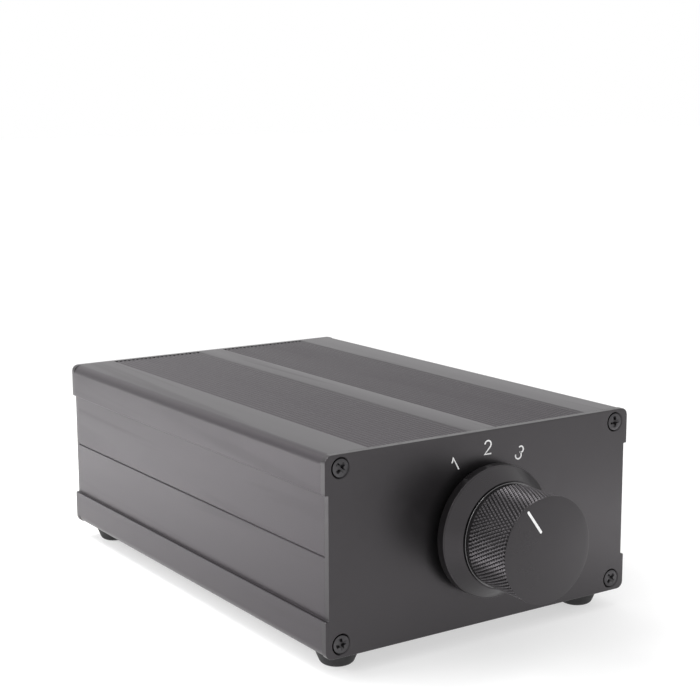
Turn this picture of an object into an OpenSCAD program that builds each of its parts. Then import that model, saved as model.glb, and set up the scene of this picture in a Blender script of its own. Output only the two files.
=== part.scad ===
// Three-way audio source selector in a two-shell aluminium case.
// Millimetres, +Z up, front panel towards -Y, +X to the right when facing the front panel.
// The origin lies on the surface that the feet stand on, at the centre of the whole outline.

/* [Case] */
// Width of the case across its bands
body_w = 100; // [90:1:130]
// Height of the case without its feet
body_h = 52; // [50:1:64]
// Depth of the case over both end panels
body_d = 150; // [120:1:200]
// Height of the full-width band at the top and bottom of each side
band_h = 10; // [8:0.5:12]
// How far the side between the bands is set back
side_recess = 1; // [0.5:0.1:1.5]
// Radius of the four long edges
corner_r = 2.5; // [1:0.1:3]
// Wall thickness of the recessed side
wall_t = 2; // [1.8:0.1:3]
// Thickness of the roof and of the floor
roof_t = 2.4; // [2:0.1:3]
// Depth and half width of the line where the shells meet
split_chamfer = 0.3; // [0.1:0.05:0.5]
// Height of the tongue that locates the shells
tongue_h = 1.2; // [0.8:0.1:2]
// Thickness of that tongue
tongue_t = 0.9; // [0.6:0.05:1.2]

/* [Top ribs] */
// Distance from one rib to the next
rib_pitch = 1.5; // [1.2:0.1:2]
// Grooves on each side of the plain centre strip
rib_count = 21; // [4:1:22]
// Depth of a groove
rib_depth = 0.45; // [0.2:0.05:0.8]
// Width of a groove at the top face
rib_groove_w = 1.1; // [0.4:0.1:1.1]
// Half width of the plain centre strip
rib_start = 4.5; // [2:0.5:8]

/* [End panels] */
// Thickness of the front and rear panels
panel_t = 2; // [1.8:0.1:3]
// Corner radius of the panels
panel_corner_r = 2; // [1:0.1:3]

/* [Panel screws] */
// Thread diameter of the panel screws
screw_d = 2.5; // [2.2:0.1:3]
// Head diameter of a countersunk panel screw
screw_head_d = 4.7; // [4.4:0.1:6]
// Length of a panel screw
screw_len = 12; // [8:1:20]
// How far the countersink is wider than the head, on each side
sink_margin = 0.4; // [0.1:0.05:0.5]
// Screw centre from the side of the case
screw_inset_x = 4.6; // [4.2:0.1:5.5]
// Screw centre from the top or bottom of the case
screw_inset_z = 3.5; // [3.3:0.1:4.5]
// Wall round a screw channel
channel_wall = 1.4; // [1:0.1:1.6]

/* [Feet] */
// Diameter of a foot where it meets the case
foot_top_d = 12.6; // [12:0.2:14]
// Diameter that the tapered side of a foot would have at the table
foot_bottom_d = 8.4; // [8:0.2:10]
// Radius between the tapered side and the underside of a foot
foot_round = 1.6; // [0.6:0.1:1.8]
// Height of a foot
foot_h = 5; // [4.5:0.5:10]
// Foot centre from the side of the case
foot_inset_x = 9.2; // [9:0.1:14]
// Foot centre from the outer face of the nearest end panel
foot_inset_y = 9.2; // [9:0.1:20]
// Rubber left above the screw's counterbore
foot_web = 2; // [1.5:0.1:2.5]
// Thread diameter of a foot screw
foot_screw_d = 2.5; // [2:0.1:2.6]

/* [Knob] */
// Gap between the front panel and the knob
knob_gap = 2.4; // [0.6:0.1:3.2]
// Diameter of the flange nearest the panel
flange_d = 35.4; // [32:0.2:38]
// Thickness of that flange
flange_t = 2.5; // [1.5:0.1:3]
// Diameter of the conical skirt where it leaves the flange
skirt_back_d = 34.8; // [31:0.2:36]
// Diameter of the conical skirt where it ends
skirt_front_d = 28.6; // [28:0.2:30]
// Length of the conical skirt
skirt_len = 3.7; // [3:0.1:8]
// Diameter of the groove between skirt and grip
groove_d = 26.6; // [25:0.2:27]
// Width of that groove
groove_w = 0.4; // [0.3:0.1:1.2]
// Diameter of the knurled grip
grip_d = 27.6; // [26:0.2:30]
// Length of the knurled grip
grip_len = 16; // [14:0.5:20]
// Chamfer at the front edge of the grip
grip_chamfer = 0.2; // [0.1:0.1:1]
// Diameter of the recess in the back that clears the nut
recess_d = 17.6; // [17:0.2:20]
// Width of the white index line
index_w = 0.7; // [0.5:0.1:1.4]
// Length of the white index line
index_len = 7.4; // [4:0.2:9]
// Depth of the white index line
index_depth = 0.6; // [0.4:0.1:1]
// Distance from the end of the index line to the edge of the grip
index_margin = 0.6; // [0.5:0.1:1.5]
// Length of the grub screw
grub_len = 8; // [6:0.5:9]
// Distance from the end of the shaft to the grub screw
grub_from_end = 5; // [4:0.5:6]

/* [Selector switch] */
// Positions of the selector
positions = 3; // [2:1:4]
// Angle from one position to the next
step_deg = 30; // [30]
// Diameter of the shaft
shaft_d = 6; // [6:0.1:6.4]
// Depth of the flats on the shaft
shaft_flat = 1.2; // [0.8:0.1:1.5]
// How far the shaft reaches in front of the panel
shaft_reach = 20; // [18:0.5:21]
// Diameter of the threaded bushing
bushing_d = 9; // [9:0.1:9.5]
// How far the bushing reaches in front of the panel
bushing_reach = 5; // [4.6:0.1:5.4]
// Width of the hex nut across its flats
nut_flats = 12; // [12:0.1:13]
// Thickness of the hex nut
nut_t = 2; // [1.5:0.1:2.5]
// Thickness of the lock washer
washer_t = 0.6; // [0.4:0.1:0.8]
// Width and height of the switch
switch_w = 25; // [25:0.5:28]
// Thickness of the bushing plate
plate_t = 2; // [1.8:0.1:2.5]
// Length of the switch housing behind the plate
housing_len = 11; // [11:0.5:14]
// Bore of the switch housing
housing_bore = 21.8; // [21.8:0.1:22.4]
// Thickness of the stator
stator_t = 2; // [1.5:0.1:2.5]
// Diameter of the detent wheel
wheel_d = 19; // [18.6:0.1:19.2]
// Thickness of the detent wheel
wheel_t = 3.5; // [3:0.1:4]
// Thickness of the rotor
rotor_t = 2.6; // [2:0.1:3]
// Diameter of the rotor
rotor_d = 20.4; // [19.4:0.1:20.8]
// Notches round the detent wheel
notch_count = 12; // [12]
// Radius of a notch
notch_r = 1.2; // [1:0.05:1.3]

/* [Boards] */
// Thickness of both circuit boards
board_t = 1.6; // [1.2:0.1:2]
// How far the main board enters its slots
slot_depth = 1.7; // [1.2:0.1:2]
// Thickness of the rails above and below a slot
rail_t = 1.2; // [1:0.1:1.6]
// Width of the switch board
switch_board_w = 34; // [30:1:40]
// Height of the switch board above the main board
switch_board_h = 29; // [28:1:32]
// Gap between the switch and its board
switch_board_gap = 1.5; // [1.2:0.1:3]
// Pins in the link header
link_count = 9; // [3:1:11]
// Distance from one link pin to the next
link_pitch = 2.54; // [2:0.01:2.54]
// Width of a square link pin
link_pin_w = 0.64; // [0.5:0.01:0.7]
// Height and depth of the link header
link_body = 2.5; // [2.3:0.1:3]

/* [Phono sockets] */
// Outer socket column from the side of the case
column_inset = 17; // [12:0.5:18]
// Height from the lower socket to the upper one
socket_pitch = 15; // [14.5:0.1:16]
// Height of the lower socket above the main board
socket_base = 6.5; // [6:0.1:7]
// Width of a socket block
block_w = 13; // [12:0.5:14]
// Depth of a socket block behind the panel
block_d = 11; // [9:0.5:14]
// Height of a socket block
block_h = 28; // [27.5:0.5:29]
// Outer diameter of a socket's metal shell
shell_d = 8.3; // [8:0.1:8.5]
// Wall of that shell
shell_t = 0.6; // [0.5:0.05:0.7]
// Step down from the shell's diameter where it enters its collar
shell_shoulder = 0.2; // [0.1:0.05:0.3]
// How far a shell reaches behind the rear panel
shell_reach = 9; // [8:0.5:11]
// Diameter of the coloured collar round a shell
collar_d = 9.8; // [9.6:0.1:10]
// How far the collar stands out of the rear panel
collar_reach = 1.5; // [1:0.1:2]
// How far the socket's core lies inside its shell
core_setback = 2.5; // [1:0.5:4]
// Bore of the centre contact
contact_bore = 3.3; // [3.2:0.05:3.4]
// Wall of the centre contact
contact_wall = 0.35; // [0.3:0.05:0.5]
// Depth of the centre contact's bore
contact_depth = 11; // [10:0.5:12]
// Thread diameter of the screw that holds a block
block_screw_d = 2.6; // [2:0.1:2.6]
// Head diameter of that screw
block_screw_head_d = 4.4; // [4:0.1:4.6]
// Length of that screw
block_screw_len = 8; // [6:0.5:9]

/* [Fits] */
// Clearance of pieces that are seated in each other
seat_gap = 0.02; // [0.01:0.01:0.05]
// Radial clearance of the turning shaft
running_gap = 0.05; // [0.02:0.01:0.08]
// Clearance of pieces that slide together
slide_gap = 0.1; // [0.05:0.05:0.2]
// Clearance round a screw in a plain hole
hole_gap = 0.2; // [0.1:0.05:0.3]

/* [Hidden] */
$fn = 64;
SIDES = [-1, 1];

// How far a cut runs past the solid, and how far joined shapes run into each other
over = 1;
lap = 0.5;

// Case
split_z = body_h / 2;
axis_z = body_h / 2;
recess_half_w = body_w / 2 - side_recess;
split_notch = split_chamfer * sqrt(2);
inner_half_w = recess_half_w - wall_t;
case_len = body_d - 2 * panel_t;
screw_r = screw_d / 2;
channel_r = screw_r + seat_gap;
boss_r = channel_r + channel_wall;
screw_x = body_w / 2 - screw_inset_x;
screw_zs = [screw_inset_z, body_h - screw_inset_z];
foot_x = body_w / 2 - foot_inset_x;
foot_ys = [foot_inset_y, body_d - foot_inset_y];

// Knob stations, as distances in front of the panel
flange_z = knob_gap;
skirt_z = flange_z + flange_t;
groove_z = skirt_z + skirt_len;
grip_z = groove_z + groove_w;
face_z = grip_z + grip_len;
shaft_r = shaft_d / 2;
clip_t = 0.5;
clip_gap = 0.35;
clip_rim = 1.5;
clip_bite = 0.6;
clip_mouth_w = 2.9;
clip_z = bushing_reach + clip_gap;
clip_r = shaft_r + clip_rim;
clip_groove_r = shaft_r - clip_bite;
recess_z = clip_z + clip_t + clip_gap;
bore_end_z = shaft_reach + clip_gap;
grub_z = shaft_reach - grub_from_end;
grub_r = 1.5;
flat_r = shaft_r - shaft_flat;
socket_key_r = 0.87;
socket_key_depth = 2;
first_turn = step_deg * (positions - 1) / 2;

// Switch stations, as distances behind the panel's front face
plate_front = panel_t;
plate_back = plate_front + plate_t;
housing_back = plate_back + housing_len;
stator_front = housing_back - stator_t;
thrust_t = 0.9;
wheel_front = plate_back + running_gap + thrust_t;
wheel_back = wheel_front + wheel_t;
rotor_back = wheel_back + rotor_t;
stator_seat = 0.4;
stator_r = housing_bore / 2 + stator_seat;
pivot_step = 0.6;
pivot_inset = 0.2;
pivot_r = shaft_r - pivot_step;
pivot_end = housing_back - pivot_inset;
bushing_r = bushing_d / 2;
bushing_bore_r = shaft_r + running_gap;
thrust_rim = 1.4;
thrust_r = shaft_r + thrust_rim;
nut_r = nut_flats / 2 / cos(30);
lock_washer_r = nut_flats / 2;
tooth_count = 8;
tooth_w = 1.2;
lug_r = 1.4;
lug_inset = 3;
lug_web = 0.6;
lug_y = lug_inset - switch_w / 2;
lug_len = panel_t - lug_web;
stop_pin_r = 0.8;
stop_wall = 1.6;
stop_radius = wheel_d / 2 - notch_r - stop_wall;
stop_depth = 1.2;
stop_margin_deg = 4;
stop_half_deg = first_turn + stop_margin_deg;
rivet_r = 0.9;
rivet_head_r = 1.6;
rivet_head_t = 0.8;
rivet_inset = 1.9;
rivet_xy = switch_w / 2 - rivet_inset;
spring_t = 0.3;
spring_half_w = 3.4;
spring_gap = 0.4;
spring_side_gap = 0.25;
spring_y = wheel_d / 2 + spring_gap;
bump_r = 0.9;
terminal_r = 0.6;
terminal_inset = 1.2;
outer_terminal_radius = rotor_d / 2 - terminal_inset;
inner_terminal_radius = 5.5;
pole_count = notch_count / positions;
wiper_t = 0.4;
wiper_w = 1.6;
contact_dot_r = 0.5;
contact_gap = 0.2;
contact_proud = 0.15;
dot_len = stator_front - contact_proud - contact_gap - rotor_back - wiper_t;

// Boards
board_top = axis_z - socket_pitch / 2 - socket_base;
board_bottom = board_top - board_t;
board_w = 2 * (inner_half_w - slide_gap);
board_y0 = panel_t + slide_gap;
board_len = case_len - 2 * slide_gap;
switch_board_y = housing_back + switch_board_gap;
switch_board_back = switch_board_y + board_t;
solder_len = 1.2;
link_z = board_top + link_body / 2;
link_y = switch_board_back + link_body / 2;
link_half = (link_count - 1) / 2;

// Sockets
panel_back = body_d - panel_t;
block_front = panel_back - block_d;
column_count = 4;
column_x = body_w / 2 - column_inset;
column_pitch = 2 * column_x / (column_count - 1);
column_xs = [for (i = [0:column_count - 1]) i * column_pitch - column_x];
socket_zs = [axis_z - socket_pitch / 2, axis_z + socket_pitch / 2];
shell_r = shell_d / 2;
shell_root_r = shell_r - shell_shoulder;
shell_bore_r = shell_r - shell_t;
collar_r = collar_d / 2;
socket_hole_r = collar_r + slide_gap;
insulator_base = 4;
insulator_floor = 2;
contact_r = contact_bore / 2 + contact_wall;
core_end = shell_reach - core_setback;
contact_floor = core_end - contact_depth;
contact_base_t = 1;
tail_r = 0.6;
tail_len = 2.5;
block_pin_r = 0.5;
block_pin_len = 3;
block_pin_xs = [-4, 0, 4];
block_pin_inset = 3.5;
block_pin_y = block_front + block_pin_inset;
block_screw_r = block_screw_d / 2;
block_screw_head_t = 1.5;

// Screw heads and washers
cross_w = 0.75;
cross_depth = 0.8;
pan_rim_share = 0.6;
pan_top_share = 0.7;
pan_cross_share = 0.3;
foot_screw_r = foot_screw_d / 2;
foot_washer_rim = 1.25;
foot_washer_r = foot_screw_r + foot_washer_rim;
foot_washer_t = 0.6;
foot_head_t = 1.7;
foot_head_rim = 1.15;
foot_head_r = foot_screw_r + foot_head_rim;
foot_bore_r = foot_washer_r + slide_gap;

// Whole outline, for the place of the origin
middle_y = (body_d + shell_reach - face_z) / 2;

// Places

// From the case's own frame (front panel's face at y = 0, case bottom at z = 0) to the part's frame
module in_case() {
    translate([0, -middle_y, foot_h]) children();
}

// On the selector's axis: z forward from the panel's face, y up, x right
module on_axis() {
    in_case() translate([0, 0, axis_z]) rotate([90, 0, 0]) children();
}

// As on_axis, turned with the selector at its first position
module turned() {
    on_axis() rotate([0, 0, first_turn]) children();
}

// At one foot: z up from the table
module at_foot(side, y) {
    translate([side * foot_x, y - middle_y, 0]) children();
}

module at_feet() {
    for (side = SIDES, y = foot_ys) at_foot(side, y) children();
}

// On a socket's axis: z outwards from the rear panel's face
module at_socket(x, z) {
    in_case() translate([x, body_d, z]) rotate([-90, 0, 0]) children();
}

module at_sockets(zs) {
    for (x = column_xs, z = zs) at_socket(x, z) children();
}

// At the four screw centres of a panel, in the panel's own plane
module at_screw_centres() {
    for (side = SIDES, z = screw_zs) translate([side * screw_x, z, 0]) children();
}

// Shapes that repeat

module tube(r_out, r_in, h) {
    difference() {
        cylinder(r = r_out, h = h);
        translate([0, 0, -over]) cylinder(r = r_in, h = h + 2 * over);
    }
}

// Rounded rectangle with its bottom edge on y = 0
module rounded_rect(w, h, r) {
    translate([-w / 2 + r, 0]) square([w - 2 * r, h]);
    translate([-w / 2, r]) square([w, h - 2 * r]);
    for (side = SIDES, y = [r, h - r]) translate([side * (w / 2 - r), y]) circle(r = r);
}

// Outline of the case seen from the front: bands at top and bottom, set back between them
module case_outline(r) {
    difference() {
        rounded_rect(body_w, body_h, r);
        for (side = SIDES) {
            translate([side * body_w / 2, body_h / 2])
                square([2 * side_recess, body_h - 2 * band_h], center = true);
        }
    }
}

// Cross section that both shells share, drawn as the lower one
module half_profile() {
    difference() {
        union() {
            difference() {
                case_outline(corner_r);
                translate([-body_w, split_z]) square([2 * body_w, body_h]);
                translate([-inner_half_w, roof_t]) square([2 * inner_half_w, body_h]);
            }
            for (side = SIDES) screw_channel(side);
        }
        for (side = SIDES) {
            translate([side * screw_x, screw_inset_z]) circle(r = channel_r);
            translate([side * recess_half_w, split_z]) rotate(45)
                square(split_notch, center = true);
        }
    }
}

// Corner boss that a panel screw threads into
module screw_channel(side) {
    corner_w = inner_half_w - screw_x + lap;
    translate([side * screw_x, screw_inset_z]) circle(r = boss_r);
    translate([side * (screw_x + corner_w / 2), screw_inset_z])
        square([corner_w, 2 * boss_r], center = true);
    translate([side * screw_x, (screw_inset_z + roof_t) / 2])
        square([2 * boss_r, screw_inset_z - roof_t + lap], center = true);
}

// Rails that hold one edge of the main board
module board_rails(side) {
    rail_w = slot_depth + lap;
    for (z = [board_bottom - slide_gap - rail_t, board_top + slide_gap]) {
        translate([side * (inner_half_w - slot_depth + rail_w / 2), z + rail_t / 2])
            square([rail_w, rail_t], center = true);
    }
}

module extrude_case(length) {
    rotate([90, 0, 0]) linear_extrude(length) children();
}

// Countersunk screw with a cross recess: z outwards, head face at z = 0
module countersunk_screw(length) {
    head_r = screw_head_d / 2;
    head_h = head_r - screw_r;
    difference() {
        union() {
            translate([0, 0, -head_h]) cylinder(r1 = screw_r, r2 = head_r, h = head_h);
            translate([0, 0, -length]) cylinder(r = screw_r, h = length - head_h + seat_gap);
        }
        cross_recess(head_r, cross_w, cross_depth);
    }
}

// Pan head screw with a cross recess: z outwards, underside of the head at z = 0
module pan_screw(r, head_r, head_t, length) {
    rim_h = head_t * pan_rim_share;
    top_r = head_r * pan_top_share;
    difference() {
        union() {
            translate([0, 0, -length]) cylinder(r = r, h = length + seat_gap);
            cylinder(r = head_r, h = rim_h);
            translate([0, 0, rim_h]) cylinder(r1 = head_r, r2 = top_r, h = head_t - rim_h);
        }
        translate([0, 0, head_t]) cross_recess(head_r, head_r * pan_cross_share, rim_h);
    }
}

// Two crossed slots, depth deep below z = 0
module cross_recess(span, slot_w, depth) {
    for (turn = [45, 135]) rotate(turn)
        translate([-span / 2, -slot_w / 2, -depth]) cube([span, slot_w, depth + over]);
}

// Hole for a countersunk screw: z outwards, panel face at z = 0
module countersink() {
    sink_r = screw_head_d / 2 + sink_margin;
    hole_r = screw_r + hole_gap;
    sink_h = sink_r - hole_r;
    translate([0, 0, -sink_h]) cylinder(r1 = hole_r, r2 = sink_r, h = sink_h);
    translate([0, 0, -panel_t - over]) cylinder(r = hole_r, h = panel_t + over);
    cylinder(r = sink_r, h = over);
}

// Round bar with one flat on its +x side
module flatted_bar(r, flat, h) {
    difference() {
        cylinder(r = r, h = h);
        translate([flat, -r - over, -over]) cube([r + over, 2 * (r + over), h + 2 * over]);
    }
}

// Hole for the flatted shaft through a piece that turns with it
module flatted_bore(h) {
    translate([0, 0, -over]) flatted_bar(shaft_r + seat_gap, flat_r + seat_gap, h + 2 * over);
}

// Case

module upper_shell() {
    color("#26262a") in_case() translate([0, panel_back, 0]) extrude_case(case_len) difference() {
        translate([0, body_h]) mirror([0, 1]) half_profile();
        for (side = SIDES) {
            groove_w_in = tongue_t + slide_gap + lap;
            translate([side * (inner_half_w + tongue_t + slide_gap - groove_w_in / 2), split_z])
                square([groove_w_in, 2 * (tongue_h + slide_gap)], center = true);
            for (i = [0:rib_count - 1]) {
                translate([side * (rib_start + (i + 0.5) * rib_pitch), body_h])
                    polygon([[-rib_groove_w / 2, seat_gap], [rib_groove_w / 2, seat_gap], [0, -rib_depth]]);
            }
        }
    }
}

module lower_shell() {
    color("#26262a") difference() {
        in_case() translate([0, panel_back, 0]) extrude_case(case_len) {
            half_profile();
            for (side = SIDES) {
                board_rails(side);
                translate([side * (inner_half_w + tongue_t / 2), split_z + (tongue_h - lap) / 2])
                    square([tongue_t, tongue_h + lap], center = true);
            }
        }
        at_feet() translate([0, 0, foot_h - over])
            cylinder(r = foot_screw_r + seat_gap, h = roof_t + 2 * over);
    }
}

module end_panel() {
    extrude_case(panel_t) case_outline(panel_corner_r);
}

module front_panel() {
    color("#2b2b30") difference() {
        in_case() translate([0, panel_t, 0]) end_panel();
        in_case() rotate([90, 0, 0]) at_screw_centres() countersink();
        on_axis() translate([0, 0, -panel_t - over])
            cylinder(r = bushing_r + slide_gap, h = panel_t + 2 * over);
        on_axis() translate([0, lug_y, -panel_t - over])
            cylinder(r = lug_r + slide_gap, h = lug_len + over);
    }
}

module rear_panel() {
    color("#2b2b30") difference() {
        in_case() translate([0, body_d, 0]) end_panel();
        in_case() translate([0, body_d, 0]) rotate([-90, 0, 0]) mirror([0, 1, 0])
            at_screw_centres() countersink();
        at_sockets(socket_zs) translate([0, 0, -panel_t - over])
            cylinder(r = socket_hole_r, h = panel_t + 2 * over);
        at_sockets([axis_z]) translate([0, 0, -panel_t - over])
            cylinder(r = block_screw_r + hole_gap, h = panel_t + 2 * over);
    }
}

module panel_screws() {
    at_screw_centres() translate([0, 0, -sink_margin]) countersunk_screw(screw_len);
}

module front_screws() {
    color("#1d1d20") in_case() rotate([90, 0, 0]) panel_screws();
}

module rear_screws() {
    color("#1d1d20") in_case() translate([0, body_d, 0]) rotate([-90, 0, 0]) mirror([0, 1, 0])
        panel_screws();
}

// Feet

// Half section of a foot: its tapered side is rounded into the underside
module foot_profile() {
    slope = (foot_top_d - foot_bottom_d) / 2;
    side_len = norm([slope, foot_h]);
    round_x = foot_bottom_d / 2 - foot_round * (side_len - slope) / foot_h;
    polygon([
        [0, 0],
        [round_x, 0],
        [round_x + foot_round * foot_h / side_len, foot_round * (1 - slope / side_len)],
        [foot_top_d / 2, foot_h],
        [0, foot_h]
    ]);
    translate([round_x, foot_round]) circle(r = foot_round);
}

module foot(side, y) {
    color("#161617") at_foot(side, y) difference() {
        rotate_extrude() foot_profile();
        translate([0, 0, -over]) cylinder(r = foot_bore_r, h = foot_h - foot_web + over);
        cylinder(r = foot_screw_r + hole_gap, h = foot_h + over);
    }
}

module foot_front_left() {
    foot(-1, foot_ys[0]);
}

module foot_front_right() {
    foot(1, foot_ys[0]);
}

module foot_rear_left() {
    foot(-1, foot_ys[1]);
}

module foot_rear_right() {
    foot(1, foot_ys[1]);
}

module foot_washers() {
    color("silver") at_feet() translate([0, 0, foot_h - foot_web - foot_washer_t])
        tube(foot_washer_r, foot_screw_r + hole_gap, foot_washer_t);
}

module foot_screws() {
    shank = foot_web + foot_washer_t + roof_t + over;
    color("silver") at_feet() translate([0, 0, foot_h - foot_web - foot_washer_t]) mirror([0, 0, 1])
        pan_screw(foot_screw_r, foot_head_r, foot_head_t, shank);
}

// Boards

module main_board() {
    color("#1f5a35") in_case() difference() {
        translate([-board_w / 2, board_y0, board_bottom]) cube([board_w, board_len, board_t]);
        for (x = column_xs, dx = block_pin_xs) translate([x + dx, block_pin_y, board_bottom - over])
            cylinder(r = block_pin_r + slide_gap, h = board_t + 2 * over);
        at_link_pins() translate([0, link_y, board_bottom + board_t / 2])
            cube([link_pin_w + slide_gap, link_pin_w + slide_gap, board_t + over], center = true);
    }
}

module switch_board() {
    color("#1f5a35") difference() {
        in_case() translate([-switch_board_w / 2, switch_board_y, board_top])
            cube([switch_board_w, board_t, switch_board_h]);
        on_axis() at_terminals() translate([0, 0, -switch_board_back - over])
            cylinder(r = terminal_r + slide_gap, h = board_t + 2 * over);
        in_case() at_link_pins() translate([0, switch_board_y + board_t / 2, link_z])
            cube([link_pin_w + slide_gap, board_t + over, link_pin_w + slide_gap], center = true);
    }
}

module at_link_pins() {
    for (i = [-link_half:link_half]) translate([i * link_pitch, 0, 0]) children();
}

// One bent link pin, w wide, from the switch board into the main board
module link_pin(w) {
    front = switch_board_y - solder_len;
    bottom = board_bottom - solder_len;
    translate([-w / 2, front, link_z - w / 2]) cube([w, link_y + w / 2 - front, w]);
    translate([-w / 2, link_y - w / 2, bottom]) cube([w, w, link_z + w / 2 - bottom]);
}

module link_header() {
    header_w = link_count * link_pitch;
    color("#1a1a1a") in_case() difference() {
        translate([-header_w / 2, switch_board_back, board_top]) cube([header_w, link_body, link_body]);
        at_link_pins() link_pin(link_pin_w + 2 * seat_gap);
    }
}

module link_pins() {
    color("gold") in_case() at_link_pins() link_pin(link_pin_w);
}

// Phono sockets

module jack_block(x) {
    color("#202022") difference() {
        in_case() translate([x - block_w / 2, block_front, board_top]) cube([block_w, block_d, block_h]);
        for (z = socket_zs) at_socket(x, z) {
            translate([0, 0, -panel_t - insulator_base])
                cylinder(r = collar_r + seat_gap, h = insulator_base + over);
            translate([0, 0, contact_floor - tail_len - over])
                cylinder(r = tail_r + seat_gap, h = block_d);
        }
        at_socket(x, axis_z) translate([0, 0, -block_screw_len - over])
            cylinder(r = block_screw_r + seat_gap, h = block_screw_len + over);
        in_case() for (dx = block_pin_xs) translate([x + dx, block_pin_y, board_top - over])
            cylinder(r = block_pin_r + seat_gap, h = block_pin_len + over + seat_gap);
    }
}

module jack_block_out() {
    jack_block(column_xs[0]);
}

module jack_block_in_1() {
    jack_block(column_xs[1]);
}

module jack_block_in_2() {
    jack_block(column_xs[2]);
}

module jack_block_in_3() {
    jack_block(column_xs[3]);
}

// Metal shell: the part that a plug slides over ends in a shoulder against the collar
module jack_shells() {
    root_z = insulator_floor - panel_t - insulator_base + seat_gap;
    shoulder_z = collar_reach + seat_gap;
    color("gold") at_sockets(socket_zs) difference() {
        union() {
            translate([0, 0, root_z]) cylinder(r = shell_root_r, h = shell_reach - root_z);
            translate([0, 0, shoulder_z]) cylinder(r = shell_r, h = shell_reach - shoulder_z);
        }
        translate([0, 0, root_z - over]) cylinder(r = shell_bore_r, h = shell_reach - root_z + 2 * over);
    }
}

// Insulator: a collar outside the shell and a core inside it, joined behind the shell
module jack_core() {
    base_z = -panel_t - insulator_base;
    core_r = shell_bore_r - seat_gap;
    core_len = core_end - base_z;
    difference() {
        union() {
            translate([0, 0, base_z]) cylinder(r = collar_r, h = collar_reach - base_z);
            translate([0, 0, base_z]) cylinder(r = core_r, h = core_len);
        }
        translate([0, 0, base_z + insulator_floor])
            tube(shell_root_r + seat_gap, core_r, shell_reach - base_z);
        translate([0, 0, base_z - over]) cylinder(r = contact_r + seat_gap, h = core_len + 2 * over);
    }
}

module jack_cores_white() {
    color("whitesmoke") at_sockets([socket_zs[1]]) jack_core();
}

module jack_cores_red() {
    color("firebrick") at_sockets([socket_zs[0]]) jack_core();
}

module jack_contacts() {
    color("gold") at_sockets(socket_zs) {
        translate([0, 0, contact_floor]) tube(contact_r, contact_bore / 2, contact_depth);
        translate([0, 0, contact_floor - contact_base_t]) cylinder(r = contact_r, h = contact_base_t);
        translate([0, 0, contact_floor - tail_len]) cylinder(r = tail_r, h = tail_len);
    }
}

module jack_pins() {
    color("silver") in_case() for (x = column_xs, dx = block_pin_xs)
        translate([x + dx, block_pin_y, board_bottom - solder_len])
            cylinder(r = block_pin_r, h = solder_len + board_t + block_pin_len);
}

module jack_screws() {
    color("#1d1d20") at_sockets([axis_z])
        pan_screw(block_screw_r, block_screw_head_d / 2, block_screw_head_t, block_screw_len);
}

// Selector switch, fixed pieces

// Round the axis, count times, radius above it
module ring_of(count, radius) {
    for (i = [0:count - 1]) rotate(i * 360 / count) translate([0, radius, 0]) children();
}

module at_terminals() {
    ring_of(notch_count, outer_terminal_radius) children();
    ring_of(pole_count, inner_terminal_radius) children();
}

module at_rivets() {
    for (x = SIDES, y = SIDES) translate([x * rivet_xy, y * rivet_xy, 0]) children();
}

// Arc that the detent wheel's stop pin runs in
module stop_slot() {
    slot_r = stop_pin_r + slide_gap;
    slot_h = plate_t;
    rotate(90 - stop_half_deg) rotate_extrude(angle = 2 * stop_half_deg)
        translate([stop_radius - slot_r, 0]) square([2 * slot_r, slot_h]);
    for (end = SIDES) rotate(end * stop_half_deg) translate([0, stop_radius, 0])
        cylinder(r = slot_r, h = slot_h);
}

module switch_bushing() {
    color("goldenrod") on_axis() difference() {
        union() {
            translate([-switch_w / 2, -switch_w / 2, -plate_back]) cube([switch_w, switch_w, plate_t]);
            translate([0, 0, -plate_back]) cylinder(r = bushing_r, h = plate_back + bushing_reach);
            translate([0, lug_y, -plate_back]) cylinder(r = lug_r, h = plate_t + lug_len - slide_gap);
        }
        translate([0, 0, -plate_back - over])
            cylinder(r = bushing_bore_r, h = plate_back + bushing_reach + 2 * over);
        translate([0, 0, -plate_back - plate_t + stop_depth + slide_gap]) stop_slot();
        at_rivets() translate([0, 0, -plate_back - over])
            cylinder(r = rivet_r + seat_gap, h = plate_t + 2 * over);
    }
}

module lock_washer() {
    color("silver") on_axis() difference() {
        tube(lock_washer_r, bushing_r + seat_gap, washer_t);
        ring_of(tooth_count, lock_washer_r) cube([tooth_w, tooth_w, 2 * (washer_t + over)], center = true);
    }
}

module bushing_nut() {
    color("silver") on_axis() translate([0, 0, washer_t]) difference() {
        cylinder(r = nut_r, h = nut_t, $fn = 6);
        translate([0, 0, -over]) cylinder(r = bushing_r + seat_gap, h = nut_t + 2 * over);
    }
}

module switch_housing() {
    color("#3a3a3f") on_axis() difference() {
        translate([-switch_w / 2, -switch_w / 2, -housing_back]) cube([switch_w, switch_w, housing_len]);
        translate([0, 0, -housing_back - over]) cylinder(r = housing_bore / 2, h = housing_len + 2 * over);
        translate([0, 0, -housing_back - over]) cylinder(r = stator_r + seat_gap, h = stator_t + over);
        at_rivets() translate([0, 0, -housing_back - over])
            cylinder(r = rivet_r + seat_gap, h = housing_len + 2 * over);
    }
}

module switch_rivets() {
    color("silver") on_axis() at_rivets() {
        translate([0, 0, -housing_back]) cylinder(r = rivet_r, h = housing_len + plate_t);
        translate([0, 0, -housing_back - rivet_head_t]) cylinder(r = rivet_head_r, h = rivet_head_t);
    }
}

module stator() {
    color("#8a5a2b") on_axis() translate([0, 0, -housing_back]) difference() {
        cylinder(r = stator_r, h = stator_t);
        translate([0, 0, -over]) cylinder(r = pivot_r + running_gap, h = stator_t + 2 * over);
        at_terminals() translate([0, 0, -over]) cylinder(r = terminal_r + seat_gap, h = stator_t + 2 * over);
    }
}

module stator_terminals() {
    back = switch_board_back + solder_len;
    color("silver") on_axis() at_terminals() translate([0, 0, -back])
        cylinder(r = terminal_r, h = back - stator_front + contact_proud);
}

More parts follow.
